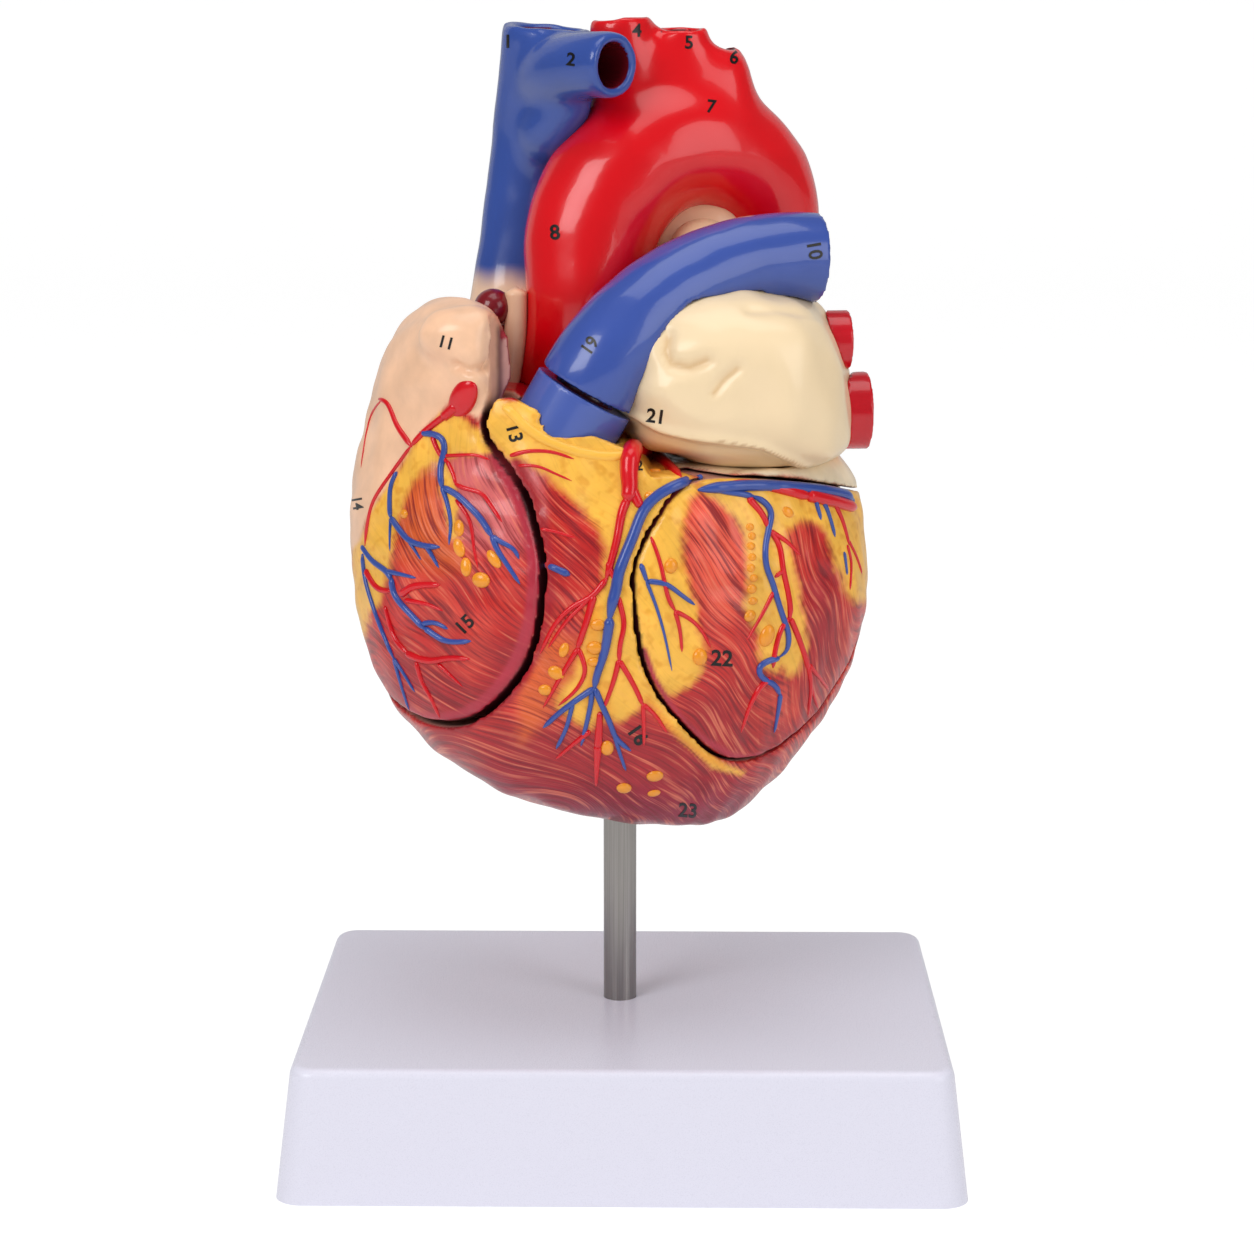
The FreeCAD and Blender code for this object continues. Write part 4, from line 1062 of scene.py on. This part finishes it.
rightCoverVeins = [
    (7, 7, (420, 433), (433, 434), (443, 439), (445, 450), (441, 465), (441, 480), (443, 490)),
    (7, 7, (443, 487), (456, 494), (469, 506), (481, 519), (493, 538)),
    (6, 4, (492, 536), (499, 541), (514, 549), (519, 559)),
    (7, 4, (492, 535), (497, 549), (506, 563), (520, 584)),
    (6, 3, (442, 486), (448, 505), (451, 524), (449, 545)),
    (5, 6, (397, 472), (391, 486), (390, 506), (391, 519)),
    (7, 6, (391, 517), (401, 531), (410, 541), (426, 546), (440, 547)),
    (5, 2, (409, 541), (415, 550), (421, 560)),
    (6, 3, (426, 545), (432, 555), (439, 568)),
    (4, 2, (391, 517), (390, 535), (390, 551)),
    (6, 7, (362, 546), (373, 561), (388, 572), (393, 582)),
    (6, 3, (386, 571), (400, 574), (416, 578)),
    (8, 7, (392, 578), (396, 596), (413, 616), (426, 630)),
    (7, 5, (425, 628), (443, 640), (456, 642), (471, 641)),
    (6, 4, (422, 624), (434, 622), (448, 629)),
    (6, 5, (363, 554), (366, 579), (373, 604), (381, 627), (395, 661)),
    (5, 3, (394, 658), (405, 675), (415, 692)),
    (5, 3, (394, 658), (403, 690), (411, 715)),
]
rightCoverArteries = [
    (14, 10, (458, 405), (450, 412), (442, 418)),
    (8, 6, (452, 412), (443, 417), (434, 424), (424, 432), (411, 446)),
    (4, 5, (411, 446), (391, 474), (374, 500), (368, 523), (365, 546)),
    (5, 7, (379, 399), (386, 401), (391, 410), (398, 427), (412, 447)),
    (3, 2, (381, 401), (372, 413), (366, 436), (361, 468)),
    (6, 5, (432, 436), (439, 453), (448, 463)),
    (4, 3, (441, 456), (462, 455), (476, 455), (490, 460)),
    (5, 4, (447, 461), (453, 473), (456, 485)),
    (5, 4, (455, 484), (463, 488), (481, 493), (489, 503), (502, 522)),
    (5, 3, (456, 500), (467, 515), (472, 530), (474, 549), (478, 568)),
    (8, 6, (366, 570), (373, 583), (380, 590), (391, 591)),
    (9, 6, (401, 595), (411, 587), (425, 585), (440, 585)),
    (6, 3, (405, 600), (426, 604), (443, 611)),
    (5, 7, (385, 606), (390, 625), (397, 642), (409, 654)),
    (9, 5, (406, 653), (420, 659), (432, 661), (450, 658), (470, 659)),
    (5, 2, (438, 664), (450, 675), (463, 687)),
    (6, 4, (416, 662), (422, 682), (430, 696), (440, 718)),
]
leftCoverVeins = [
    (12, 12, (852, 501), (844, 495), (810, 489), (771, 486), (743, 486), (716, 488), (698, 490)),
    (5, 7, (708, 488), (725, 492), (741, 494), (754, 497)),
    (7, 6, (752, 496), (764, 502), (771, 513), (768, 530), (765, 547), (766, 566), (772, 582), (777, 599),
        (783, 618), (788, 633), (787, 650), (778, 658)),
    (7, 6, (779, 658), (767, 661), (758, 668), (762, 678), (775, 685), (780, 696)),
    (6, 3, (780, 694), (778, 710), (774, 733)),
    (6, 4, (641, 564), (647, 582)),
    (4, 2, (646, 580), (656, 606), (664, 633), (672, 671)),
    (6, 4, (648, 581), (666, 584), (680, 594), (695, 605)),
    (6, 4, (813, 481), (815, 499), (821, 520)),
    (6, 4, (816, 492), (826, 508), (835, 537)),
    (4, 3, (844, 552), (847, 575)),
]
leftCoverArteries = [
    (7, 13, (722, 487), (743, 483), (775, 488), (812, 497)),
    (14, 13, (806, 495), (832, 501), (856, 508)),
    (8, 6, (748, 498), (762, 514), (768, 528)),
    (6, 7, (768, 528), (779, 545), (783, 570), (787, 589), (790, 608), (789, 622)),
    (6, 6, (789, 618), (781, 629), (775, 650), (773, 668)),
    (7, 3, (770, 678), (760, 687), (750, 706), (741, 733)),
    (7, 6, (790, 618), (798, 637), (806, 660), (809, 672)),
    (6, 3, (808, 664), (820, 678), (832, 695)),
    (6, 3, (808, 666), (811, 685), (808, 716)),
    (5, 3, (810, 682), (815, 700), (821, 716)),
    (6, 3, (770, 531), (786, 541), (801, 556)),
    (5, 3, (774, 591), (768, 603), (760, 618), (747, 640)),
    (5, 4, (775, 577), (784, 570)),
    (4, 5, (651, 537), (660, 562), (668, 597), (676, 612)),
    (5, 3, (675, 611), (680, 630), (682, 652)),
    (5, 3, (675, 611), (690, 619), (702, 631), (711, 648)),
    (6, 4, (834, 503), (842, 520), (849, 545)),
    (4, 3, (848, 540), (856, 556), (862, 574)),
    (4, 3, (847, 545), (851, 562), (850, 590)),
]
# the routes behind, as x and height on the heart in millimetres
backVeins = [
    (15, 13, (58, 108), (40, 106), (20, 103), (0, 101), (-20, 101), (-38, 102)),
    (11, 6, (-12, 100), (-8, 80), (-6, 60), (-2, 38), (4, 20)),
    (7, 3, (-7, 72), (10, 60), (20, 45)),
    (7, 3, (-8, 82), (-24, 66), (-32, 50)),
    (8, 3, (36, 105), (40, 84), (38, 60), (34, 42)),
]
backArteries = [
    (10, 9, (-62, 112), (-48, 106), (-30, 104), (-14, 104)),
    (9, 4, (-16, 104), (-14, 84), (-12, 62), (-8, 40), (-2, 22)),
    (6, 3, (-13, 70), (-28, 58), (-38, 44)),
    (6, 3, (-12, 58), (4, 46), (12, 34)),
    (9, 5, (64, 104), (50, 101), (30, 98)),
    (6, 3, (54, 102), (56, 84), (52, 62), (48, 48)),
]

# each net: its body, slot and finish, the routes in front and behind, and how proud it stands
trees = {body: treeOf([surfaces[body]]) for body in ("core", "right_cover", "left_cover")}
vein = ("vein_blue", finishes["coronaryVeinEnamel"])
artery = ("artery_red", finishes["coronaryArteryEnamel"])
nets = {
    "core_coronary_veins": ("core", *vein, coreVeins, backVeins, 0.12),
    "core_coronary_arteries": ("core", *artery, coreArteries, backArteries, 0.05),
    "right_cover_veins": ("right_cover", *vein, rightCoverVeins, None, 0.15),
    "right_cover_arteries": ("right_cover", *artery, rightCoverArteries, None, 0.0),
    "left_cover_veins": ("left_cover", *vein, leftCoverVeins, None, 0.2),
    "left_cover_arteries": ("left_cover", *artery, leftCoverArteries, None, 0.05),
}
for name, (body, slot, finish, routes, backRoutes, proud) in nets.items():
    shapes = [vesselNet(trees[body], routes, proud)]
    if backRoutes:
        shapes.append(vesselNet(trees[body], backRoutes, proud, behind=True))
    addPiece(name, meshFrom(name, *joined(shapes)), body, finish)
print("coronary vessels laid")

# fat lobules: spot, half width along and across in pixels, and turn in degrees
rightLobules = [
    (459, 528, 9, 6, 80), (459, 548, 10, 6, 70), (466, 567, 10, 6, 85), (481, 580, 10, 8, 10),
    (494, 559, 11, 6, 50), (404, 514, 6, 5, 0),
]
coreLobules = [
    (564, 650, 8, 5, 110), (556, 673, 9, 7, 30), (545, 690, 7, 6, 0), (598, 625, 8, 6, 0),
    (595, 648, 9, 7, 0), (594, 662, 7, 5, 0), (655, 776, 9, 7, 0), (654, 793, 7, 5, 0),
    (624, 788, 8, 7, 20), (607, 748, 7, 9, 0), (654, 471, 7, 5, 0), (651, 496, 7, 5, 0),
]
leftLobules = [
    (750, 527, 4.5, 4, 0), (752, 536, 4.5, 4, 0), (751, 546, 5, 4, 0), (752, 557, 5, 4, 0),
    (751, 568, 5, 4.5, 0), (754, 578, 5, 4, 0), (752, 589, 5.5, 5, 0), (753, 601, 5.5, 4, 0),
    (750, 616, 6, 7, 60), (700, 657, 8, 9, 0), (767, 636, 8, 12, 20), (671, 566, 7, 8, 20),
    (788, 512, 7, 5, 30), (768, 488, 5, 4, 0),
]


def ball(sides, rings):
    # rings of radius sine at height cosine, from the pole below to the pole above
    b = np.linspace(np.pi, 0, rings + 2)[1:-1, None]
    a = np.linspace(0, 2 * np.pi, sides, endpoint=False)
    ring = np.stack([np.sin(b) * np.cos(a), np.sin(b) * np.sin(a), np.cos(b) + 0 * a], axis=-1)
    return np.concatenate([ring.reshape(-1, 3), [(0, 0, -1), (0, 0, 1)]]), closedRings(rings, sides)


def lobule(tree, spot, along, across, turn, sides=14, rings=7, flatness=0.55):
    # a ball stretched along and across and flattened, its lower half in the casting
    ground = landOn(tree, [spot])
    if not len(ground):
        return None
    place, normal = ground[0, :3], ground[0, 3:]
    first = rightWay * math.cos(math.radians(turn)) - upWay * math.sin(math.radians(turn))
    first = first - normal * (first @ normal)
    first /= np.linalg.norm(first)
    second = np.cross(normal, first)
    axes = np.array([first * along, second * across, normal * min(along, across) * flatness])
    points, faces = ball(sides, rings)
    return points @ axes * pixel + place, faces


for name, body, spots in (("right_cover_fat_lobules", "right_cover", rightLobules),
                          ("core_fat_lobules", "core", coreLobules),
                          ("left_cover_fat_lobules", "left_cover", leftLobules)):
    shapes = [lobule(trees[body], (x, y), *rest) for x, y, *rest in spots]
    mesh = meshFrom(name, *joined([shape for shape in shapes if shape]))
    addPiece(name, mesh, body, finishes["fatLobuleEnamel"])
print("fat lobules laid")

# small forms between the castings: spots, the depth y at which they lie, and half sizes in millimetres. The
# mouth and the roll are given as a lobule and a vessel are
smallForms = {
    # the dome is a dark red egg behind the auricle's tip: the atrium's dark red inside, made darker as
    # painted shade of the hole there
    "domeSpot": (493, 307), "domeDepth": -3 * mm, "domeSize": (5.6, 6.0, 5.4),
    "strip": [(516, 292), (516, 310), (515, 335), (512, 360), (508, 385), (505, 402)], "stripDepth": -4 * mm,
    "stripStep": 3, "stripRadius": 3.3 * mm,
    "padSpot": (686, 236), "padDepth": 14 * mm, "padSize": (17.0, 6.0, 12.0),
    "mouth": (25, 14, -52, 28, 13), "mouthSpot": (463, 399), "rollProud": -0.45,
    "roll": (12, 13, (503, 408), (510, 411), (522, 424), (540, 437), (560, 446), (585, 453), (612, 456),
             (630, 452)),
}


def atDepth(spot, depth):
    ray = lineOfSight(spot)
    return eye + ray * (depth - eye[1]) / ray[1]


def egg(kind):
    # a ball stretched to the form's half sizes at its spot and depth
    points, faces = ball(32, 18)
    centre = atDepth(smallForms[kind + "Spot"], smallForms[kind + "Depth"])
    return points * np.array(smallForms[kind + "Size"]) * mm + centre, faces


def stripShape():
    route = smoothRoute(smallForms["strip"], smallForms["stripStep"])
    line = np.array([atDepth(spot, smallForms["stripDepth"]) for spot in route])
    radii = np.full(len(line), smallForms["stripRadius"])
    return tubeAlong(line, np.tile((0.0, -1.0, 0.0), (len(line), 1)), radii, 0, sides=24)


collar = treeOf([surfaces["core"], surfaces["pulmonary_stump"]])
for name, shape, body, slot, finish in (
        # the dark red egg is the hole's inside colour and its painted shade
        ("atrium_hole_inside_and_shade", egg("dome"), "core", "heart_paint", "darkRedHoleShadeEnamel"),
        ("atrium_cream_fold", stripShape(), "core", "heart_paint", "creamFoldEnamel"),
        ("arch_cream_pad", egg("pad"), "great_vessels", "atrium_cream", "creamFoldEnamel"),
        ("coronary_artery_mouth",
         lobule(trees["right_cover"], smallForms["mouthSpot"], *smallForms["mouth"]), "right_cover",
         "artery_red", "coronaryArteryEnamel"),
        ("trunk_fat_roll", vesselNet(collar, [smallForms["roll"]], smallForms["rollProud"]), "core",
         "heart_paint", "fatRollEnamel")):
    addPiece(name, meshFrom(name, *shape), body, finishes[finish])
print("small forms made")

# numerals: text, spot, height in pixels and turn in degrees, clockwise
numerals = {
    "superior_vena_cava": [("1", 508, 42, 13, 0), ("2", 571, 60, 13, 8)],
    "aorta": [("4", 637, 31, 13, 0), ("5", 689, 43, 13, 0), ("6", 734, 58, 13, 5), ("7", 711, 107, 13, 8),
              ("8", 555, 233, 15, -5)],
    "pulmonary_trunk": [("19", 590, 346, 13, -55), ("10", 814, 250, 14, 80)],
    "left_atrium": [("21", 656, 417, 14, 8)],
    "right_cover": [("11", 446, 343, 12, 15), ("14", 357, 503, 10, 80), ("15", 465, 625, 14, -45)],
    "left_cover": [("22", 722, 659, 16, 3)],
    "core": [("13", 514, 433, 14, 75), ("16", 637, 735, 15, 55), ("23", 688, 811, 14, 5),
             ("12", 636, 466, 10, 0)],
}
# the ink is a thin sheet of letters: how deep and how proud it is, how much bolder than the typeface, the
# height of a capital as a share of the letter size, steps in each curve and cuts in each edge
inkPlan = {"depth": 0.35 * mm, "proud": 0.12 * mm, "bolder": 0.022, "capital": 0.72, "steps": 3, "cuts": 3,
           "merge": 1e-4}


def flatLetters(text):
    # a flat slab of letters of size 1, netted finely enough to follow a curved casting
    curve = bpy.data.curves.new("numeral", "FONT")
    curve.body = text
    curve.align_x = "CENTER"
    curve.align_y = "CENTER"
    curve.offset = inkPlan["bolder"]
    curve.extrude = 0.1
    curve.resolution_u = inkPlan["steps"]
    helper = bpy.data.objects.new("numeral", curve)
    bpy.context.scene.collection.objects.link(helper)
    bpy.context.view_layer.update()
    mesh = bpy.data.meshes.new_from_object(helper.evaluated_get(bpy.context.evaluated_depsgraph_get()))
    bpy.data.objects.remove(helper)
    work = bmesh.new()
    work.from_mesh(mesh)
    bmesh.ops.remove_doubles(work, verts=work.verts, dist=inkPlan["merge"])
    bmesh.ops.triangulate(work, faces=work.faces)
    bmesh.ops.subdivide_edges(work, edges=work.edges, cuts=inkPlan["cuts"], use_grid_fill=True)
    work.to_mesh(mesh)
    work.free()
    return mesh


def inkedText(tree, text, x, y, height, turn):
    # the letters laid on the casting along the lines of sight, their front proud and their back sunk
    mesh = flatLetters(text)
    points = pointsOf(mesh)
    c, s = math.cos(math.radians(turn)), math.sin(math.radians(turn))
    across, down = points[:, :2].T * height / inkPlan["capital"] * ((1,), (-1,))
    ground = landOn(tree, np.stack([x + c * across - s * down, y + s * across + c * down], axis=1))
    lift = inkPlan["proud"] - inkPlan["depth"] * (points[:, 2] <= 0)
    return ground[:, :3] + ground[:, 3:] * lift[:, None], [tuple(face.vertices) for face in mesh.polygons]


for owner, rows in numerals.items():
    name = owner + "_numerals"
    tree = treeOf([surfaces[owner]])
    mesh = meshFrom(name, *joined([inkedText(tree, *row) for row in rows]))
    mesh.polygons.foreach_set("use_smooth", np.zeros(len(mesh.polygons), bool))
    body = "great_vessels" if owner in vesselNodes else owner
    addPiece(name, mesh, body, finishes["numeralInk"])
print("numerals laid")

# the stage, in metres: half the floor's width, the bend's radius and the backdrop's height. The paper glows
# in white, by this share where it is seen. Reflections find it bright in front and dark behind, between two
# depths y. World is how bright the world is for the camera, for reflections and for the rest
stage = {"floor": 3.0, "bend": 0.8, "bendSteps": 16, "height": 4.0, "glow": 1.2, "seenShare": 0.75,
         "glossFront": 0.4, "glossBehind": 0.08, "glossDepths": (-0.1, 0.3), "tooth": 1.1 * mm,
         "paper": ((0.84, 0.84, 0.84, 1), (0.87, 0.87, 0.87, 1)), "paperRoughness": 0.9,
         "world": (1.0, 0.12, 0.45)}
white = (1, 1, 1, 1)


def makeBackdrop():
    # a floor that rises behind in a quarter circle, so that no line shows between them
    half, bend = stage["floor"], stage["bend"]
    steps = np.linspace(0, np.pi / 2, stage["bendSteps"])
    y = [-half, *(half + bend * np.sin(steps)), half + bend]
    z = [0.0, *(bend * (1 - np.cos(steps))), stage["height"]]
    points = [(x, b, c) for x in (-2 * half, 2 * half) for b, c in zip(y, z)]
    n = len(y)
    return meshFrom("backdrop", np.array(points), [(i, n + i, n + i + 1, i + 1) for i in range(n - 1)])


def rayLevel(tree, seen, gloss, other):
    # one level for what the camera sees, straight or through something, one for reflections and one for
    # the rest
    path = addNode(tree, "ShaderNodeLightPath").outputs
    clear = addNode(tree, "ShaderNodeMath", {0: path["Is Camera Ray"], 1: path["Is Transmission Ray"]},
                    operation="MAXIMUM").outputs[0]
    mirrored = addNode(tree, "ShaderNodeMix", {"Factor": path["Is Glossy Ray"], "A": other,
                                               "B": gloss}).outputs["Result"]
    return addNode(tree, "ShaderNodeMix", {"Factor": clear, "A": mirrored, "B": seen}).outputs["Result"]


def makePaper():
    material, tree, shader = newMaterial("whitePaperSweep")
    place = addNode(tree, "ShaderNodeTexCoord").outputs["Object"]
    tooth = addNode(tree, "ShaderNodeTexNoise", {"Vector": place, "Scale": 1 / stage["tooth"]})
    dark, light = stage["paper"]
    tone = addNode(tree, "ShaderNodeMix", {"Factor": tooth.outputs["Fac"], "A": dark, "B": light},
                   data_type="RGBA")
    setInputs(tree, shader, {"Base Color": tone.outputs["Result"], "Roughness": stage["paperRoughness"]})
    glow = addNode(tree, "ShaderNodeEmission", {"Color": white, "Strength": stage["glow"]})
    depth = addNode(tree, "ShaderNodeSeparateXYZ", {"Vector": place}).outputs["Y"]
    front, back = stage["glossDepths"]
    gloss = addNode(tree, "ShaderNodeMapRange", {"Value": depth, "From Min": front, "From Max": back,
                                                 "To Min": stage["glossFront"],
                                                 "To Max": stage["glossBehind"]}).outputs["Result"]
    share = rayLevel(tree, stage["seenShare"], gloss, 0.0)
    mix = addNode(tree, "ShaderNodeMixShader", {0: share, 1: shader.outputs[0], 2: glow.outputs[0]})
    tree.links.new(mix.outputs[0], tree.nodes["Material Output"].inputs["Surface"])
    return material


backdrop = bpy.data.objects.new("backdrop", makeBackdrop())
bpy.context.scene.collection.objects.link(backdrop)
backdrop.data.materials.append(makePaper())

# soft boxes: place, what they face and size in metres, and power in watts
lamps = {
    "keyBox": ((-0.9, -1.1, 1.1), (0, 0, 0.24), (0.8, 0.8), 11),
    "fillBox": ((1.1, -0.9, 0.7), (0, 0, 0.22), (0.7, 1.0), 5),
    "topBox": ((0.1, -0.1, 1.5), (0, 0, 0.2), (0.9, 0.9), 5),
}
for lampName, (spot, target, size, power) in lamps.items():
    data = bpy.data.lights.new(lampName, "AREA")
    data.shape = "RECTANGLE"
    data.size, data.size_y = size
    data.energy = power
    lamp = bpy.data.objects.new(lampName, data)
    lamp.location = spot
    lamp.rotation_euler = (Vector(target) - Vector(spot)).to_track_quat("-Z", "Y").to_euler()
    bpy.context.scene.collection.objects.link(lamp)

world = bpy.data.worlds.new("studio")
world.use_nodes = True
tree = world.node_tree
setInputs(tree, tree.nodes["Background"], {"Color": white, "Strength": rayLevel(tree, *stage["world"])})
bpy.context.scene.world = world
bpy.context.scene.view_settings.view_transform = "Standard"

print("scene ready")
